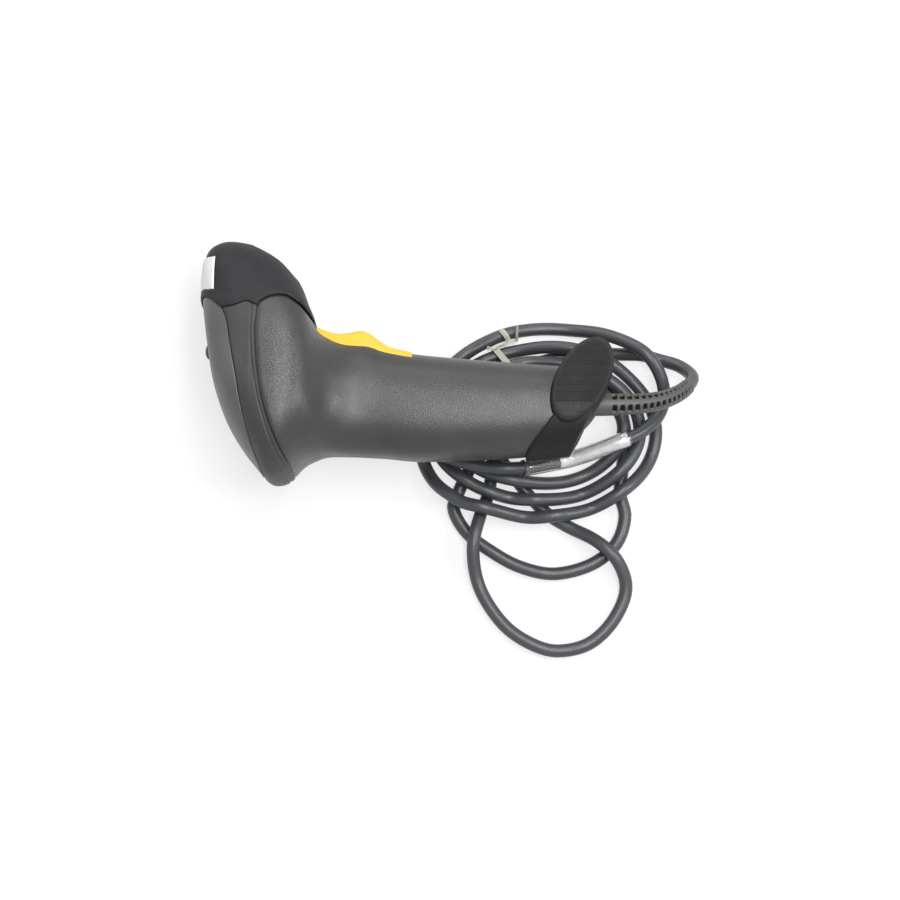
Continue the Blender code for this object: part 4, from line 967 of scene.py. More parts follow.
@dataclass
class Head:
    """Cover, band and nose of the head, with the sticker, the light and the window's hood."""

    body: BodyForm
    nose_left: Sequence[Point2] = ((-0.0900, 0.0205), (-0.0740, 0.0198), (-0.0660, 0.0136))
    nose_arch: Sequence[Point2] = ((-0.0660, 0.0136), (-0.0615, 0.0142), (-0.0573, 0.0156), (-0.0533, 0.0141))
    nose_right: Sequence[Point2] = (
        (-0.0533, 0.0141), (-0.0519, 0.0160), (-0.0480, 0.0182), (-0.0440, 0.0187), (-0.0390, 0.0164),
        (-0.0348, 0.0135), (-0.0300, 0.0120))
    cover_seam: Sequence[Point2] = (
        (-0.0668, 0.0140), (-0.0648, 0.0090), (-0.0632, 0.0005), (-0.0612, -0.0090), (-0.0593, -0.0205),
        (-0.0566, -0.0315), (-0.0533, -0.0410), (-0.0480, -0.0560))
    housing_seam: Sequence[Point2] = (
        (-0.0525, 0.0300), (-0.0532, 0.0141), (-0.0540, 0.0055), (-0.0534, -0.0055), (-0.0518, -0.0165),
        (-0.0497, -0.0250), (-0.0465, -0.0335), (-0.0435, -0.0390), (-0.0402, -0.0430), (-0.0330, -0.0500))
    bead: float = 0.0007
    groove: float = 0.00030
    face_angle: float = math.radians(45.0)
    face_middle: float = -0.0588
    opening: Point2 = (0.0215, 0.0370)
    lip_face: float = -0.0160
    label_y: Point2 = (0.0262, 0.0385)
    label_edge: float = -0.0690
    label_start: float = MID - 0.0060
    label_slant: float = 0.19
    tongue_width: float = 0.0040
    tongue_depth: float = 0.0010
    led_y: float = 0.0045
    led_radius: float = 0.0028
    led_proud: float = 0.0020

    def __post_init__(self) -> None:
        """Draw the seams and find where they meet the middle plane."""
        self.nose_lines = [Profile(line) for line in (self.nose_left, self.nose_arch, self.nose_right)]
        self.cover_line = Profile([(y, x) for x, y in reversed(self.cover_seam)], 0.0008)
        self.housing_line = Profile([(y, x) for x, y in reversed(self.housing_seam)], 0.0008)
        body = self.body
        self.first, self.second = self.nose_arch[0], self.nose_arch[-1]
        self.top_x = crossing(lambda x: body.rear.at(x) < self.nose_y(x), body.start, -0.0735)
        self.chin_x = crossing(lambda x: body.front.at(x) < self.nose_y(x), -0.0400, -0.0310)
        self.cover_end = crossing(lambda x: body.rear.at(x) > self.line_y(self.cover_line, x),
                                  -0.0600, -0.0485)
        self.band_end = crossing(lambda x: body.rear.at(x) > self.line_y(self.housing_line, x),
                                 -0.0450, -0.0360)

    def nose_y(self, x: float) -> float:
        """Height of the nose's edge at x.

        Args:
            x: Place along the body.
        Returns:
            The edge's y.
        """
        for line in self.nose_lines[:-1]:
            if x <= line.places[-1]:
                return line.at(x)
        return self.nose_lines[-1].at(x)

    def line_y(self, line: Profile, x: float) -> float:
        """Where a seam that runs down the side passes x."""
        return float(np.interp(x, line.values[::-1], line.places[::-1]))

    def down(self, line: Profile, x_shift: float, start_y: float, end_y: float, share: float) -> Point2:
        """Place and angle on a seam that runs down the side.

        Args:
            line: The seam.
            x_shift: Sideways move that leaves the gap.
            start_y: Where it starts.
            end_y: Where it ends, on the middle plane.
            share: Share of the way down it.
        Returns:
            X and the angle round the body.
        """
        y = start_y + (end_y - start_y) * share
        x = line.at(y) + x_shift
        return (x, -QUARTER if share >= 1.0 else self.body.angle_at(x, y))

    def edge(self, start_x: float, end_x: float, share: float) -> Point2:
        """Place and angle on the nose's edge, on the side of the shells below it."""
        x = start_x + (end_x - start_x) * share
        return (x, self.body.angle_at(x, self.nose_y(x) - GAP / 2))

    def cover(self) -> None:
        """The curved cover, from the nose to the rear, with its light."""
        body, half = self.body, GAP / 2
        end_y = body.rear.at(self.cover_end)
        back = Profile([(y, x) for x, y in reversed(self.body.rear_outline[:9])], 0.0008)
        top_y = self.nose_y(self.top_x) - half

        def place(share: float, down: float) -> Vector:
            """Point of the cover from the shares across and down it."""
            share = 1 - (1 - share) ** 1.5
            seam = self.down(self.cover_line, -half, self.first[1] - half, end_y, down)
            spine_y = top_y + (end_y - top_y) * down
            spine = (back.at(spine_y), -QUARTER)
            top = self.edge(self.top_x, self.first[0] - half, share)
            start = self.down(self.cover_line, -half, self.first[1] - half, end_y, 0.0)
            flat = [first + (second - first) * share for first, second in zip(spine, seam)]
            plain = [first + (second - first) * share for first, second in zip((self.top_x, -QUARTER), start)]
            x = flat[0] + (1 - down) * (top[0] - plain[0])
            angle = flat[1] + (1 - down) * (top[1] - plain[1])
            width = math.hypot(seam[0] - spine[0], 0.028 * (seam[1] - spine[1]))
            roll = max(0.0, 1 - (1 - share) * width / 0.0012)
            return body.point(x, max(angle, -QUARTER), -0.00035 * roll ** 2)

        shape = outward(mirrored(patch(40, 84, place)), (-0.050, 0.0, MID))
        show("cover_shell", carved(shape, wall=WALL), COVER, ["top_cover"], rounding=0.00035)
        self.light(back.at(self.led_y))

    def light(self, x: float) -> None:
        """The status light's lens: a low dome on a round plug."""
        shape = bmesh.new()
        bmesh.ops.create_uvsphere(shape, u_segments=40, v_segments=24, radius=1.0)
        for vertex in shape.verts:
            side = math.hypot(vertex.co.x, vertex.co.y)
            deep = self.led_proud * vertex.co.z if vertex.co.z > 0 else WALL * vertex.co.z
            round_it = min(side * 1.12, 1.0) / side if side > 1e-6 else 0.0
            vertex.co = (x - deep, self.led_y + vertex.co.y * round_it * self.led_radius,
                         MID + vertex.co.x * round_it * self.led_radius)
        outward(shape, (x, self.led_y, MID))
        show("status_light", shape, SMOKED, ["led_lens"])

    def band(self) -> None:
        """The dark band round the sides and rear, with the groove along its inner edge."""
        body, half = self.body, GAP / 2
        cover_y, housing_y = body.rear.at(self.cover_end), body.rear.at(self.band_end)
        start_y = self.first[1] - half, self.second[1] - half

        def left(down: float) -> Point2:
            """The edge along the cover."""
            return self.down(self.cover_line, half, start_y[0], cover_y, down)

        def right(down: float) -> Point2:
            """The edge along the housing."""
            return self.down(self.housing_line, -half, start_y[1], housing_y, down)

        def top(share: float) -> Point2:
            """The edge along the nose."""
            return self.edge(self.first[0] + half, self.second[0] - half, share)

        def rear(share: float) -> Point2:
            """The line on the middle plane."""
            return (self.cover_end + half + (self.band_end - self.cover_end - GAP) * share, -QUARTER)

        def place(share: float, down: float) -> Vector:
            """Point of the band from the shares across and down it."""
            share = 1 - (1 - share) ** 2.0
            values = []
            for axis in (0, 1):
                across = (1 - share) * left(down)[axis] + share * right(down)[axis]
                along = (1 - down) * top(share)[axis] + down * rear(share)[axis]
                corners = ((1 - share) * ((1 - down) * left(0.0)[axis] + down * rear(0.0)[axis])
                           + share * ((1 - down) * right(0.0)[axis] + down * rear(1.0)[axis]))
                values.append(across + along - corners)
            width = 0.0125
            away = (1 - share) * width
            roll = 0.00025 * max(0.0, 1 - share * width / 0.0010) ** 2
            proud = -self.groove * hump(away, 0.0017, 0.00042) - roll
            return body.point(values[0], max(values[1], -QUARTER), proud)

        shape = outward(mirrored(patch(56, 96, place)), (-0.050, 0.0, MID))
        show("rubber_band", carved(shape, wall=WALL), BAND, ["bumper_band"], rounding=0.0003)

    def face_point(self, along: float, height: float, z: float) -> Vector:
        """Point from the distance along the window's direction, the place up its face and z."""
        turn, lift = math.cos(self.face_angle), math.sin(self.face_angle)
        return Vector((along * turn + height * lift, along * lift - height * turn, z))

    def rim(self, turn: float, grown: float = 0.0) -> Point2:
        """Place on the window opening's rounded outline: up the face, and z."""
        angle, power = 2 * math.pi * turn, 9.0
        across, up = math.cos(angle), math.sin(angle)
        reach = (abs(across) ** power + abs(up) ** power) ** (-1 / power)
        return (self.face_middle + (self.opening[0] / 2 + grown) * up * reach,
                MID + (self.opening[1] / 2 + grown) * across * reach)

    def nose(self) -> None:
        """The matt nose with its rounded edge, and the hood that lines the window's recess."""
        body, half = self.body, GAP / 2
        stops = [(0.0, body.start), (0.08, body.start), (0.12, self.top_x), (0.24, -0.0732),
                 (0.36, self.first[0]), (0.60, self.second[0]), (1.0, self.chin_x)]

        def place(share: float, down: float) -> Vector:
            """Point of the nose from the shares round it and along it."""
            x = float(np.interp(down, *zip(*stops)))
            edge_y = self.nose_y(x) + half
            low = body.angle_at(x, edge_y) if edge_y > body.rear.at(x) else -QUARTER
            if down >= 1.0:
                low = QUARTER
            angle = low + (QUARTER - low) * share ** 1.4
            skin = body.skin(x, angle)
            away = max(skin.y - edge_y, 0.0)
            proud = self.bead * hump(away, 0.0012, 0.0030) - 0.0003 * max(0.0, 1 - away / 0.0007) ** 2
            spot = body.point(x, angle, proud if down < 1.0 else 0.0)
            if down < stops[1][0]:
                heart = Vector((body.start, (body.front.at(x) + body.rear.at(x)) / 2, MID))
                spot = heart + (spot - heart) * (down / stops[1][0])
            return spot

        shape = outward(mirrored(patch(52, 150, place)), (-0.060, 0.030, MID))

        def shaft(turn: float, share: float) -> Vector:
            """Point of the block that opens the recess."""
            height, z = self.rim(turn)
            return self.face_point(self.lip_face - 0.004 + 0.05 * share, height, z)

        opening = closed(patch(96, 1, shaft))
        show("nose_shell", carved(shape, [opening], wall=WALL), NOSE, ["nose_bumper"],
             rounding=0.0004)

        def hood(turn: float, share: float) -> Vector:
            """Point of the hood, from inside the nose's wall down to the window's seal."""
            height, z = self.rim(turn, 0.00004)

            def outside(along: float) -> bool:
                """Whether the line of sight has left the body."""
                spot = self.face_point(along, height, z)
                return not body.holds(*spot)

            skin = crossing(outside, self.lip_face, 0.01)
            along = skin - 0.0012 + (self.lip_face + 0.0001 - skin + 0.0012) * share
            return self.face_point(along, height, z)

        lining = carved(outward(patch(96, 10, hood), tuple(self.face_point(-0.012, self.face_middle, MID))),
                        wall=0.0012, side=1.0)
        show("window_hood", lining, NOSE)

    def sticker(self) -> None:
        """The bare white sticker on top of the nose."""
        body = self.body

        def place(across: float, up: float) -> Vector:
            """Point of the sticker from the shares across and up it."""
            y = self.label_y[0] + (self.label_y[1] - self.label_y[0]) * up
            middle, depth, power = body.section(self.label_edge, True)
            low = y - self.label_slant * 0.8 * body.half_width(self.label_edge)
            rise = (1 - min(abs(low - middle) / depth, 1.0) ** power) ** (1 / power)
            end = MID + body.half_width(self.label_edge) * rise
            z = self.label_start + (end - self.label_start) * across
            y -= self.label_slant * (z - MID)
            x = crossing(lambda spot: body.holds(spot, y, z), body.start - 0.0005, -0.055)
            angle = body.angle_at(x + 1e-5, y)
            lift = body.point(x + 1e-5, angle, 0.0003) - body.point(x + 1e-5, angle)
            return Vector((x + min(lift.x, -0.00015), y + lift.y, z + math.copysign(lift.z, z - MID)))

        shape = outward(patch(48, 30, place), (-0.060, 0.032, MID))
        show("nose_sticker", carved(shape, wall=0.00022, side=1.0), LABEL, ["nose_label"])

    def tongues(self) -> None:
        """The strips inside the shells' walls that close the seams to light."""
        body = self.body
        strips = []
        for line, top, end in ((self.cover_line, self.first[1], self.cover_end),
                               (self.housing_line, self.second[1], self.band_end)):
            def beside(across: float, down: float, line: Profile = line, top: float = top,
                       end: float = end) -> Vector:
                """Point of a strip under a seam that runs down the side."""
                x, angle = self.down(line, 0.0, top, body.rear.at(end), down)
                x += self.tongue_width * (across - 0.5)
                return body.point(x, max(angle, -QUARTER), -self.tongue_depth)

            strips.append(patch(6, 72, beside))

        def under(across: float, along: float) -> Vector:
            """Point of the strip under the nose's edge."""
            x = self.top_x + 0.0006 + (self.chin_x - self.top_x - 0.0012) * along
            y = self.nose_y(x) + self.tongue_width * (across - 0.5)
            return body.point(x, body.angle_at(x, y), -self.tongue_depth)

        strips.append(patch(6, 120, under))
        shapes = [carved(outward(mirrored(strip), (-0.050, 0.0, MID)), wall=0.0006) for strip in strips]
        show("seam_tongues", joined(*shapes), BLACK)

    def build(self) -> None:
        """Build the head's pieces."""
        self.cover()
        self.band()
        self.nose()
        self.tongues()
        self.sticker()


@dataclass
class Housing:
    """The two moulded halves of the handle and lower head."""

    body: BodyForm
    head: Head
    end_line: Sequence[Point2] = ((-0.0450, 0.0500), (0.0050, 0.0660))
    slot_x: Point2 = (-0.0339, 0.0019)
    slot_y: Point2 = (-0.0060, 0.0300)
    slot_width: float = 0.0200
    screw_places: Sequence[Point2] = ((-0.0200, -0.0290), (0.0120, -0.0300), (0.0400, -0.0290))
    sink_radius: float = 0.0026
    screw_base: float = MID - 0.0075
    roll: float = 0.0005
    roll_width: float = 0.0016

    def limits(self, angle: float) -> Point2:
        """Where the housing starts and ends at an angle round the body.

        Args:
            angle: The angle round the body.
        Returns:
            X where the housing starts and ends.
        """
        body, head, half = self.body, self.head, GAP / 2

        def starts(x: float) -> bool:
            """Whether the housing has started at x."""
            y = body.skin(x, angle).y
            return x > head.housing_line.at(y) + half and y < head.nose_y(x) - half

        start = crossing(starts, -0.0600, -0.0300)
        line = Profile(self.end_line)
        return start, crossing(lambda x: x > line.at(body.skin(x, angle).y), 0.045, 0.075)

    def half(self) -> Shape:
        """The right half's outer surface."""
        body, head = self.body, self.head
        cusp = body.angle_at(head.second[0], head.second[1])
        rounds: dict[float, tuple[float, float, float]] = {}

        def place(along: float, up: float) -> Vector:
            """Point of the half from the shares along and round it."""
            if up not in rounds:
                share = up / 0.54 if up < 0.54 else (up - 0.54) / 0.46
                below = -QUARTER + (cusp + QUARTER) * share
                angle = below if up < 0.54 else cusp + (QUARTER - cusp) * share ** 1.7
                rounds[up] = (angle, *self.limits(angle))
            angle, start, end = rounds[up]
            x = start + (end - start) * (0.42 * along + 0.58 * along ** 2)
            y = body.skin(x, angle).y
            away = min(x - head.housing_line.at(y), head.nose_y(x) - y) - GAP / 2
            spot = body.point(x, angle, -self.roll * max(0.0, 1 - max(away, 0.0) / self.roll_width) ** 2)
            spot.z = max(spot.z, MID + GAP / 2)
            return spot

        return outward(patch(150, 128, place), (0.0, -0.015, MID))

    def build(self) -> None:
        """Build both halves, with the trigger's slot and the screws' sinks."""
        for side, name in ((Side.RIGHT, "right"), (Side.LEFT, "left")):
            shape = self.half()
            if side is Side.LEFT:
                mirrored(shape, keep=False)
            slot_z = (MID - self.slot_width / 2, MID + self.slot_width / 2)
            cutters = [block(self.slot_x, self.slot_y, slot_z)]
            posts = []
            if side is Side.LEFT:
                for x, y in self.screw_places:
                    cutters.append(rod((x, y, -0.01), (0, 0, 1), 0.01 + self.screw_base, self.sink_radius))
            shape = carved(shape, cutters, wall=WALL)
            if side is Side.LEFT:
                for x, y in self.screw_places:
                    top = self.body.point(x, self.body.angle_at(x, y)).z
                    low = 2 * MID - top + 0.0012
                    tube = rod((x, y, low), (0, 0, 1), self.screw_base - low, self.sink_radius + 0.0012)
                    bore = rod((x, y, low - 0.001), (0, 0, 1), 0.05, self.sink_radius)
                    posts.append(carved(tube, [bore]))
            show("housing_half_" + name, joined(shape, *posts), HOUSING,
                 ["housing_" + name], rounding=0.0004)


@dataclass
class Trigger:
    """The finger trigger on its pin."""

    body: BodyForm
    width: float = 0.0190
    pivot: Point2 = (-0.0298, 0.0052)
    hub_radius: float = 0.0030
    back: float = -0.0010
    top: Sequence[Point2] = (
        (-0.0334, 0.0122), (-0.0295, 0.0109), (-0.0258, 0.0104), (-0.0213, 0.0110), (-0.0172, 0.0119),
        (-0.0138, 0.0108), (-0.0105, 0.0081), (-0.0064, 0.0056), (-0.0016, 0.0045), (0.0017, 0.0036))
    hook: Sequence[Point2] = (
        (-0.0023, 0.0004), (0.0014, 0.0004), (0.0014, -0.0006), (0.0045, -0.0006), (0.0045, -0.0020),
        (-0.0023, -0.0020))
    hook_width: float = 0.0100
    bore_radius: float = 0.0015
    pin_radius: float = 0.0012
    pin_length: float = 0.0215
    steps: int = 64

    def build(self) -> None:
        """Build the lever with its hook and its bore."""
        line = Profile(self.top, 0.0006)
        start, end = self.top[0][0], self.top[-1][0]
        outline = [(x, line.at(x)) for x in np.linspace(start, end, self.steps)]
        outline += [(end, self.back), (self.pivot[0] + 2 * self.hub_radius, self.back)]
        for index in range(17):
            angle = math.radians(-70.0 - 120.0 * index / 16)
            outline.append((self.pivot[0] + self.hub_radius * math.cos(angle),
                            self.pivot[1] + self.hub_radius * math.sin(angle)))
        lever = prism(outline, (MID - self.width / 2, MID + self.width / 2))
        rims = [edge for edge in lever.edges
                if all(start < vertex.co.x < end - 0.0004 and vertex.co.y > line.at(vertex.co.x) - 1e-5
                       for vertex in edge.verts) and abs(edge.verts[0].co.z - edge.verts[1].co.z) < 1e-6]
        bmesh.ops.bevel(lever, geom=rims, offset=0.0011, segments=5, profile=0.5, affect="EDGES", material=-1)
        bore = rod((*self.pivot, MID - self.width), (0, 0, 1), 2 * self.width, self.bore_radius)
        lever = carved(lever, [bore])
        for share in np.linspace(-0.4, 0.4, 9):
            bmesh.ops.bisect_plane(lever, geom=lever.verts[:] + lever.edges[:] + lever.faces[:], dist=1e-7,
                                   plane_co=(0.0, 0.0, MID + share * self.width), plane_no=(0.0, 0.0, 1.0))
        for vertex in lever.verts:
            crown = self.body.front.at(vertex.co.x) - self.body.front_at(vertex.co.x, vertex.co.z)
            vertex.co.y -= crown * eased(vertex.co.y, self.back, line.at(vertex.co.x))
        hook = prism(self.hook, (MID - self.hook_width / 2, MID + self.hook_width / 2))
        show("trigger_lever", joined(lever, hook), TRIGGER, ["trigger"], Body.TRIGGER,
             rounding=0.0003)
        pin = rod((*self.pivot, MID - self.pin_length / 2), (0, 0, 1), self.pin_length, self.pin_radius)
        show("hinge_pin", pin, STEEL, ["trigger_pin"], rounding=0.0002)


@dataclass
class Foot:
    """The rubber boot over the handle's end and the ribbed pads on its sides."""

    body: BodyForm
    wall: float = 0.0013
    width: float = 0.0350
    rim: float = 0.0006
    toe_rounding: float = 0.0014
    edge_line: Sequence[Point2] = (
        (-0.0420, 0.0395), (-0.0352, 0.0440), (-0.0265, 0.0502), (-0.0200, 0.0548), (-0.0120, 0.0590),
        (-0.0020, 0.0630), (0.0100, 0.0670))
    sole_line: Sequence[Point2] = (
        (-0.0420, 0.0565), (-0.0335, 0.0600), (-0.0265, 0.0640), (-0.0150, 0.0690), (-0.0030, 0.0735),
        (0.0030, 0.0754))
    centre: Point2 = (0.0633, -0.0098)
    pad_length: float = 0.0335
    pad_width: float = 0.0180
    tilt: float = math.radians(62.0)
    thickness: float = 0.0020
    rib_pitch: float = 0.00082
    rib_height: float = 0.00034

    def boot(self) -> None:
        """The boot: a sleeve that grows from the handle, closed by the sole, with the oval toe."""
        body = self.body
        edge, sole = Profile(self.edge_line), Profile(self.sole_line)
        rounds: dict[float, tuple[float, float, float]] = {}

        def place(along: float, up: float) -> Vector:
            """Point of the boot from the shares along and round it."""
            if up not in rounds:
                angle = -QUARTER + math.pi * up
                ends = [crossing(lambda x: x > line.at(body.point(x, angle, self.wall).y), 0.035, 0.079)
                        for line in (edge, sole)]
                rounds[up] = (angle, *ends)
            angle, start, end = rounds[up]
            out = min(along / 0.72, 1.0)
            x = start + (end - start) * out
            spot = body.point(x, angle, self.wall - 0.0004 * max(0.0, 1 - (x - start) / 0.0010) ** 2)
            inward = max(along - 0.72, 0.0) / 0.28
            heart = Vector((sole.at(-0.0160), -0.0160, MID))
            return spot + (heart - spot) * inward

        sleeve = outward(mirrored(patch(46, 72, place)), (0.058, -0.016, MID))
        toe = prism(self.oval(self.rim), (MID - self.width / 2, MID + self.width / 2))
        rims = [part for part in toe.edges if abs(part.verts[0].co.z - part.verts[1].co.z) < 1e-7]
        bmesh.ops.bevel(toe, geom=rims, offset=self.toe_rounding, segments=6, profile=0.5, affect="EDGES",
                        material=-1)
        show("boot", joined(carved(sleeve, wall=self.wall * 0.9), toe), BOOT, ["foot_boot"],
             rounding=0.0006)

    def oval(self, grown: float = 0.0, count: int = 96) -> list[Point2]:
        """Outline of a pad, or of the rim round it.

        Args:
            grown: How much larger than the pad.
            count: Number of points.
        Returns:
            The outline's points.
        """
        points = []
        for index in range(count):
            angle = 2 * math.pi * index / count
            along = (self.pad_length / 2 + grown) * math.cos(angle)
            across = (self.pad_width / 2 + grown) * math.sin(angle)
            points.append((self.centre[0] + along * math.cos(self.tilt) - across * math.sin(self.tilt),
                           self.centre[1] + along * math.sin(self.tilt) + across * math.cos(self.tilt)))
        return points

    def pad(self, side: Side) -> None:
        """One pad: an oval with rounded edges, fine ribs across it and a small moulded ring.

        Args:
            side: The side it is on.
        """
        long, short = self.pad_length / 2, self.pad_width / 2
        turn, lift = math.cos(self.tilt), math.sin(self.tilt)
        reach = math.hypot(long * lift, short * turn)
        base = MID + self.width / 2 + GAP
        rows = int(2 * reach / self.rib_pitch) * 8

        def place(across: float, up: float) -> Point3:
            """Point of the pad's face from the shares along a rib and over the ribs."""
            y = reach * (2 * up - 1)
            first = (turn / long) ** 2 + (lift / short) ** 2
            second = 2 * y * turn * lift * (1 / long ** 2 - 1 / short ** 2)
            third = y * y * ((lift / long) ** 2 + (turn / short) ** 2) - 1
            spread = math.sqrt(max(second * second - 4 * first * third, 0.0))
            x = (-second + math.sin(QUARTER * (2 * across - 1)) * spread) / (2 * first)
            edge = math.hypot((x * turn + y * lift) / long, (y * turn - x * lift) / short)
            ribbed = (1 - eased(edge, 0.88, 0.95)) * eased(y, -0.0100, -0.0084)
            rib = 0.5 - 0.5 * math.cos(2 * math.pi * y / self.rib_pitch)
            ring = 0.00022 * hump(math.hypot(x + 0.0014, y + 0.0109), 0.0015, 0.0005)
            height = self.thickness - 0.0011 * edge ** 18 - self.rib_height * ribbed * rib + ring
            return (self.centre[0] + x, self.centre[1] + y, base + height)

        shape = patch(60, rows, place)
        rims = [edge for edge in shape.edges if edge.is_boundary]
        walls = bmesh.ops.extrude_edge_only(shape, edges=rims)["geom"]
        for part in walls:
            if isinstance(part, bmesh.types.BMVert):
                part.co.z = base
        closed(shape)
        if side is Side.LEFT:
            mirrored(shape, keep=False)
        name = side.name.lower()
        show("pad_" + name, shape, PAD, ["foot_pad_" + name])

    def build(self) -> None:
        """Build the boot and both pads."""
        self.boot()
        for side in Side:
            self.pad(side)


@dataclass
class Lead:
    """The lead: strain relief, loops, coil, sleeve with its label, twist tie and plug."""

    diameter: float = 0.0050
    pitch: float = 0.0063
    slope: float = 0.42
    step: float = 0.0020
    plug_steps: int = 4
    pile_rounds: int = 40
    ease_points: int = 9
    root_x: float = 0.0330 + 0.0160 + GAP / 2
    relief_root: float = 0.0085
    relief_tip: float = 0.0058
    relief_path: Sequence[Point3] = (
        (0.0600, -0.0155, 0.0315), (0.0720, -0.0155, 0.0315), (0.0800, -0.0154, 0.0314),
        (0.0870, -0.0148, 0.0305), (0.0944, -0.0130, 0.0280), (0.1010, -0.0096, 0.0240),
        (0.1053, -0.0056, 0.0190))
    drop: Sequence[Point3] = (
        (0.1077, -0.0015, 0.0140), (0.1066, 0.0020, 0.0098), (0.1030, 0.0054, 0.0064),
        (0.0975, 0.0077, 0.0042))
    loops: Sequence[Point2] = (
        (0.0920, 0.0092), (0.0850, 0.0100), (0.0760, 0.0108), (0.0660, 0.0106), (0.0520, 0.0080),
        (0.0400, 0.0025), (0.0325, -0.0060), (0.0285, -0.0170), (0.0250, -0.0300), (0.0190, -0.0430),
        (0.0170, -0.0500), (0.0220, -0.0590), (0.0310, -0.0660), (0.0420, -0.0720), (0.0550, -0.0747),
        (0.0690, -0.0712), (0.0785, -0.0635), (0.0822, -0.0530), (0.0805, -0.0440), (0.0815, -0.0340),
        (0.0830, -0.0220), (0.0800, -0.0090), (0.0710, -0.0005), (0.0570, 0.0010), (0.0440, -0.0030),
        (0.0355, -0.0130), (0.0325, -0.0280), (0.0305, -0.0430), (0.0270, -0.0530), (0.0243, -0.0650),
        (0.0258, -0.0770), (0.0305, -0.0870), (0.0380, -0.0960), (0.0480, -0.1020), (0.0570, -0.1038),
        (0.0680, -0.1010), (0.0770, -0.0925), (0.0820, -0.0810), (0.0790, -0.0710), (0.0705, -0.0625),
        (0.0610, -0.0570), (0.0532, -0.0522), (0.0465, -0.0456), (0.0402, -0.0380), (0.0338, -0.0306),
        (0.0275, -0.0240))
    coil_centre: Point2 = (0.0500, -0.0190)
    coil_radii: Point2 = (0.0285, 0.0170)
    coil_pitch: float = 0.0065
    coil_start: float = math.radians(172.0)
    coil_turns: float = 2.79
    points_per_turn: int = 24
    tail: Sequence[Point2] = (
        (0.0230, -0.0492), (0.0160, -0.0455), (0.0105, -0.0408), (0.0066, -0.0345), (0.0042, -0.0270),
        (0.0036, -0.0190), (0.0056, -0.0100), (0.0114, 0.0000), (0.0208, 0.0090), (0.0335, 0.0170),
        (0.0460, 0.0204), (0.0600, 0.0205), (0.0730, 0.0182), (0.0840, 0.0130), (0.0920, 0.0065),
        (0.0965, -0.0010), (0.0974, -0.0080), (0.0952, -0.0145), (0.0905, -0.0200), (0.0840, -0.0243),
        (0.0720, -0.0285), (0.0570, -0.0327), (0.0430, -0.0362), (0.0330, -0.0365), (0.0240, -0.0350),
        (0.0165, -0.0322), (0.0100, -0.0292), (0.0040, -0.0270), (-0.0025, -0.0256), (-0.0085, -0.0243),
        (-0.0140, -0.0213), (-0.0168, -0.0175), (-0.0175, -0.0140))
    sleeve_from: int = 19
    sleeve_length: float = 0.0430
    sleeve_wall: float = 0.0004
    label_share: Point2 = (0.03, 0.69)
    tie_place: Point2 = (0.0355, 0.0080)
    tie_across: Point2 = (0.52, -0.85)
    tie_reach: float = 0.0062
    tie_lift_reach: float = 0.0120
    tie_width: float = 0.0024
    tie_thickness: float = 0.0005
    tie_wire: float = 0.0012
    tie_clearance: float = 0.00045
    tie_stem: Sequence[Point2] = ((0.0300, 0.0118), (0.0330, 0.0124), (0.0360, 0.0135), (0.0385, 0.0144))
    tie_ends: Sequence[Sequence[Point2]] = (
        ((0.0385, 0.0144), (0.0378, 0.0160), (0.0367, 0.0176), (0.0352, 0.0194)),
        ((0.0360, 0.0135), (0.0385, 0.0144), (0.0412, 0.0158), (0.0414, 0.0180), (0.0416, 0.0206)))
    plug_length: float = 0.0165
    plug_width: float = 0.0155
    plug_height: float = 0.0080

    def coil(self) -> list[Point2]:
        """The coil's turns: a flat spiral that widens by one pitch each turn."""
        points = []
        for index in range(int(self.coil_turns * self.points_per_turn) + 1):
            turn = index / self.points_per_turn
            angle = self.coil_start - 2 * math.pi * turn
            wide, deep = (radius + self.coil_pitch * turn for radius in self.coil_radii)
            points.append((self.coil_centre[0] + wide * math.cos(angle),
                           self.coil_centre[1] + deep * math.sin(angle)))
        return points

    def piled(self, route: np.ndarray, held: int) -> np.ndarray:
        """Heights for the route.

        Args:
            route: Its points.
            held: Number of points that keep their own height.
        Returns:
            Heights at which each stretch lies on the floor and on those laid before it.
        """
        floor = self.diameter / 2
        reach = np.arange(len(route)) * self.step
        spread = np.hypot(route[:, None, 0] - route[None, :, 0], route[:, None, 1] - route[None, :, 1])
        apart = np.abs(reach[:, None] - reach[None, :])
        later = reach[:, None] - reach[None, :] > 4 * self.pitch
        over = later & (spread < self.pitch)
        over[:, :held] = False
        lift = np.where(over, np.sqrt(np.maximum(self.pitch ** 2 - spread ** 2, 0.0)), -1.0)
        heights = np.maximum(route[:, 2], floor)
        from_tie = np.hypot(route[:, 0] - self.tie_place[0], route[:, 1] - self.tie_place[1])
        at_tie = from_tie < self.tie_lift_reach
        heights[at_tie] = np.maximum(heights[at_tie], floor + self.tie_clearance + self.tie_thickness + GAP)
        heights[-self.plug_steps:] = self.plug_height / 2
        for _ in range(self.pile_rounds):
            need = np.where(over, heights[None, :] + lift, floor).max(axis=1)
            need[:held] = route[:held, 2]
            raised = np.maximum(need, heights)
            raised = (raised[None, :] - self.slope * apart).max(axis=1)
            raised[:held] = route[:held, 2]
            if np.allclose(raised, heights, atol=1e-6):
                break
            heights = raised
        window = np.hanning(self.ease_points)
        padded = np.pad(heights, self.ease_points // 2, mode="edge")
        smooth = np.convolve(padded, window / window.sum(), mode="valid")
        share = np.clip((np.arange(len(route)) - held + self.ease_points) / self.ease_points, 0.0, 1.0)
        return heights + (smooth - heights) * share

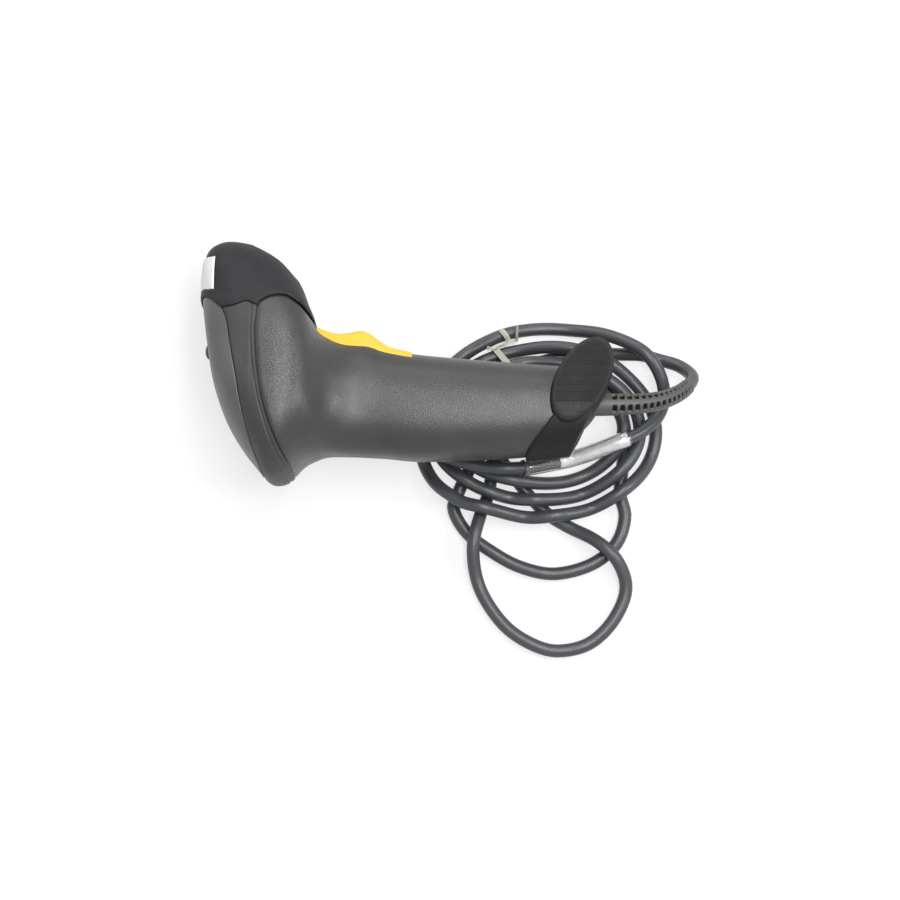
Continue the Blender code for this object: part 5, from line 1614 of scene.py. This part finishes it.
    def route(self) -> tuple[np.ndarray, dict[str, int]]:
        """The lead's line from inside the handle to the plug, and where its stretches start."""
        turns = self.coil()
        held = [(self.root_x, *self.relief_path[0][1:]), *self.relief_path, *self.drop]
        flat = [*self.loops, *turns, *self.tail]
        line, picks = smooth_route(held + [(x, y, self.diameter / 2) for x, y in flat], self.step)
        tail = len(held) + len(self.loops) + len(turns)
        line[:, 2] = self.piled(line, picks[len(held)])
        return line, {"free": picks[len(self.relief_path)], "tail": picks[tail - 1],
                      "sleeve": picks[tail + self.sleeve_from]}

    def relief(self, line: np.ndarray) -> list[Piece]:
        """The strain relief: a taper with four rows of slots that get closer towards its tip.

        Args:
            line: The relief's line.
        Returns:
            The relief and its near-black core, whose colour paints the shade inside the slots.
        """
        path = smooth_route([tuple(point) for point in line], 0.00022)[0]
        length = float(np.linalg.norm(np.diff(path, axis=0), axis=1).sum())
        starts = 0.0270
        slots, place = [], starts
        while place < length - 0.0016:
            share = (place - starts) / (length - starts)
            slots.append((place, 0.00078 - 0.00022 * share))
            place += 0.00275 - 0.0009 * share
        rows = [math.radians(angle) for angle in (53.0, 127.0, 233.0, 307.0)]

        def section(reach: float, angle: float) -> Point2:
            """Reach of the relief's side, cut in where a slot is."""
            share = min(max((reach - 0.0227) / (length - 0.0227), 0.0), 1.0)
            radius = (self.relief_root + (self.relief_tip - self.relief_root) * share) / 2
            radius -= 0.0005 * max(0.0, 1 - (length - reach) / 0.0007) ** 2
            cut = 0.0
            for middle, half in slots:
                if abs(reach - middle) < 2 * half:
                    for row in rows:
                        turn = abs((angle - row + math.pi) % (2 * math.pi) - math.pi) / math.radians(19.0)
                        if turn < 1.3:
                            far = (abs((reach - middle) / half) ** 4 + turn ** 4) ** 0.25
                            cut = max(cut, 1 - eased(far, 0.85, 1.12))
            radius -= (0.0026 - 0.0010 * share) * cut
            return (radius * math.cos(angle), radius * math.sin(angle))

        def core(reach: float, angle: float) -> Point2:
            """Reach of the core that the slots open on; its near-black colour paints the shade inside them.
            """
            share = min(max((reach - 0.0227) / (length - 0.0227), 0.0), 1.0)
            outer = (self.relief_root + (self.relief_tip - self.relief_root) * share) / 2
            radius = outer - 0.00105 + 0.00015 * share
            return (radius * math.cos(angle), radius * math.sin(angle))

        # The core's near-black finish is painted shade for the slots; the relief itself keeps its own colour.
        return [show("slotted_relief", swept(path, 96, section), RELIEF, ["strain_relief"]),
                show("relief_shade_core", swept(path[40:-8:4], 40, core), SHADE_CORE)]

    def cord(self, line: np.ndarray) -> Piece:
        """The lead itself, from the relief's tip to the plug.

        Args:
            line: The lead's line.
        Returns:
            The lead.
        """
        curve = bpy.data.curves.new("lead", "CURVE")
        curve.dimensions = "3D"
        curve.bevel_depth, curve.bevel_resolution, curve.use_fill_caps = self.diameter / 2, 5, True
        spline = curve.splines.new("POLY")
        spline.points.add(len(line) - 1)
        for point, place in zip(spline.points, line):
            point.co = (*place, 1.0)
        spline.use_smooth = True
        curve.materials.append(CORD.material())
        piece = bpy.data.objects.new("lead", curve)
        bpy.context.scene.collection.objects.link(piece)
        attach(piece, Body.SCANNER.value)
        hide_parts("cord_lead", "cord_coil", "cord_tail")
        log.info("lead: %d points", len(line))
        return piece

    def sleeve(self, line: np.ndarray) -> list[Piece]:
        """The clear sleeve on the lead, and the bare silver label under it.

        Args:
            line: The stretch of the lead that it is on.
        Returns:
            The sleeve and the label.
        """
        path = smooth_route([tuple(point) for point in line], 0.0008)[0]
        inner, outer = self.diameter / 2 + 0.00022, self.diameter / 2 + GAP + self.sleeve_wall
        length = (len(path) - 1) * 0.0008

        def film(reach: float, angle: float) -> Point2:
            """The sleeve's outer side, drawn in at both ends."""
            end = min(reach, length - reach)
            radius = outer - 0.00028 * (1 - eased(end, 0.0, 0.0022))
            return (radius * math.cos(angle), radius * math.sin(angle))

        def foil(reach: float, angle: float) -> Point2:
            """The label wrapped on the lead."""
            return (inner * math.cos(angle), inner * math.sin(angle))

        clear = carved(swept(path, 40, film, ends=False), wall=0.00035)
        first, last = (int(share * (len(path) - 1)) for share in self.label_share)
        band = carved(swept(path[first:last], 40, foil, ends=False), wall=0.00012)
        return [show("clear_sleeve", clear, SLEEVE, ["label_sleeve"]),
                show("silver_label", band, FOIL)]

    def tie_hull(self, route: np.ndarray, radius: float, width: float) -> Shape:
        """The closed shape that wraps the turns under the tie at a radius from their middles."""
        across = np.array(self.tie_across) / np.linalg.norm(self.tie_across)
        along = np.array((-across[1], across[0]))
        offset = route[:, :2] - np.array(self.tie_place)
        ahead = offset @ across
        held = (np.abs(offset @ along) < (self.tie_width + self.step) / 2) & (np.abs(ahead) < self.tie_reach)
        shape = bmesh.new()
        for reach, height in zip(ahead[held], route[held, 2]):
            for index in range(48):
                angle = 2 * math.pi * index / 48
                place = np.array(self.tie_place) + across * (reach + radius * math.cos(angle))
                for side in (-width / 2, width / 2):
                    shape.verts.new((*(place + along * side), height + radius * math.sin(angle)))
        result = bmesh.ops.convex_hull(shape, input=shape.verts)
        spare = {part for part in result["geom_interior"] + result["geom_unused"]
                 if isinstance(part, bmesh.types.BMVert)}
        bmesh.ops.delete(shape, geom=list(spare), context="VERTS")
        bmesh.ops.dissolve_limit(shape, angle_limit=math.radians(1.0), verts=shape.verts, edges=shape.edges)
        bmesh.ops.recalc_face_normals(shape, faces=shape.faces)
        return shape

    def laid(self, route: np.ndarray, path: Sequence[Point2]) -> np.ndarray:
        """A tie end's path, resting on the lead's turns."""
        apart = self.diameter / 2 + self.tie_wire / 2 + self.tie_clearance + GAP
        points = []
        for x, y, _ in smooth_route([(x, y, 0.0) for x, y in path], self.tie_wire / 2)[0]:
            spread = np.hypot(route[:, 0] - x, route[:, 1] - y)
            near = spread < apart
            rest = route[near, 2] + np.sqrt(apart ** 2 - spread[near] ** 2)
            points.append((x, y, max(rest.max(initial=0.0), self.tie_wire)))
        heights = np.array([point[2] for point in points])
        soft = np.convolve(np.pad(heights, 2, mode="edge"), np.ones(5) / 5, mode="valid")
        return np.array([(x, y, max(first, second)) for (x, y, first), second in zip(points, soft)])

    def tie(self, route: np.ndarray) -> Piece:
        """The twist tie: a paper band round two turns, a twisted stem and two flat ends.

        Args:
            route: The lead's line.
        Returns:
            The twist tie.
        """
        inner = self.diameter / 2 + self.tie_clearance
        loop = carved(self.tie_hull(route, inner + self.tie_thickness, self.tie_width),
                      [self.tie_hull(route, inner, 2 * self.tie_width)])
        strips = []
        for path, wide, thin, turns in ((self.tie_stem, 0.00085, 0.00042, 260.0),
                                        (self.tie_ends[0], 0.00100, 0.00034, 0.0),
                                        (self.tie_ends[1], 0.00100, 0.00034, 120.0)):
            def section(reach: float, angle: float, wide: float = wide, thin: float = thin,
                        turns: float = turns) -> Point2:
                """A flat paper strip with a round wire in its middle, turned as it goes."""
                side = wide * math.cos(angle)
                lift = (thin * 0.6 + 0.00028 * hump(side, 0.0, 0.0003)) * math.sin(angle)
                twist = turns * reach
                return (side * math.cos(twist) - lift * math.sin(twist),
                        side * math.sin(twist) + lift * math.cos(twist))

            strips.append(swept(self.laid(route, path), 28, section))
        return show("twist_tie", joined(loop, *strips), TIE, ["cord_tie"], rounding=0.00012,
                    segments=2)

    def plug(self) -> Piece:
        """The plug's moulded body: flat sided, ribbed for grip and drawn in towards the lead."""
        x, end_y = self.tail[-1]
        places = np.linspace(end_y + GAP, end_y + GAP + self.plug_length, 140)
        path = np.array([(x, y, self.plug_height / 2) for y in places])
        length = self.plug_length

        def section(reach: float, angle: float) -> Point2:
            """A rounded box, thinner where the lead enters and grooved on its way."""
            grow = eased(reach, 0.0, 0.0042)
            wide = 0.0034 + (self.plug_width / 2 - 0.0034) * grow
            tall = 0.0031 + (self.plug_height / 2 - 0.0031) * grow
            rounding = 0.0006 * max(0.0, 1 - min(reach, length - reach) / 0.0006) ** 2
            groove = sum(0.00035 * hump(reach, 0.0058 + 0.0016 * index, 0.0004) for index in range(4))
            power = 2.2 + 4.0 * grow
            across, up = math.cos(angle), math.sin(angle)
            size = (abs(across) ** power + abs(up) ** power) ** (-1 / power)
            return ((wide - rounding - groove) * across * size, (tall - rounding) * up * size)

        return show("plug_body", swept(path, 72, section), BLACK, ["usb_overmould"])

    def build(self) -> None:
        route, starts = self.route()
        free = route[starts["free"]:]
        cord = self.cord(free)
        relief = self.relief(route[:starts["free"] + 1])
        first = starts["sleeve"]
        sleeve = self.sleeve(route[first:first + int(round(self.sleeve_length / self.step)) + 1])
        tie = self.tie(route)
        plug = self.plug()
        length = float(np.linalg.norm(np.diff(free, axis=0), axis=1).sum())
        tuple(free[0])
        log.info("lead: %.3f m long", length)


@dataclass
class Inside:
    """Finishes for the CAD pieces that stay as they are."""

    finishes: dict[str, Finish] = field(default_factory=lambda: {
        "window_gasket": BLACK, "scan_window": WINDOW, "engine_chassis": ALUMINIUM, "laser_diode": ALUMINIUM,
        "collimator_lens": LENS, "scan_mirror": MIRROR, "mirror_carrier": BLACK, "mirror_magnet": STEEL,
        "mirror_pin": STEEL, "drive_coil": COPPER, "photodiode": BLACK, "engine_board": BOARD,
        "main_board": BOARD, "switch_body": BLACK, "switch_plunger": BLACK, "beeper": BLACK,
        "flex_cable": FLEX, "cable_jack": BLACK, "cable_plug": LENS,
        "housing_screw_1": STEEL, "housing_screw_2": STEEL, "housing_screw_3": STEEL,
        "usb_shell": STEEL, "usb_tongue": BLACK})

    def build(self) -> None:
        """Give each piece its finish."""
        for name, finish in self.finishes.items():
            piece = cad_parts[name]
            piece.data.materials.clear()
            piece.data.materials.append(finish.material())
            log.info("%s: %s", name, finish.name)


def corners() -> list[list[float]]:
    """The shown object's lowest and highest corner."""
    return [[float(value) for value in corner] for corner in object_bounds()]


def main() -> None:
    """Build the scene."""
    logging.basicConfig(level=logging.INFO, format="%(name)s: %(message)s")
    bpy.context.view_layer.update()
    body = BodyForm()
    head = Head(body)
    for assembly in (Studio(), Lead(), head, Housing(body, head), Trigger(body), Foot(body), Inside()):
        assembly.build()


if __name__ == "__main__":
    main()
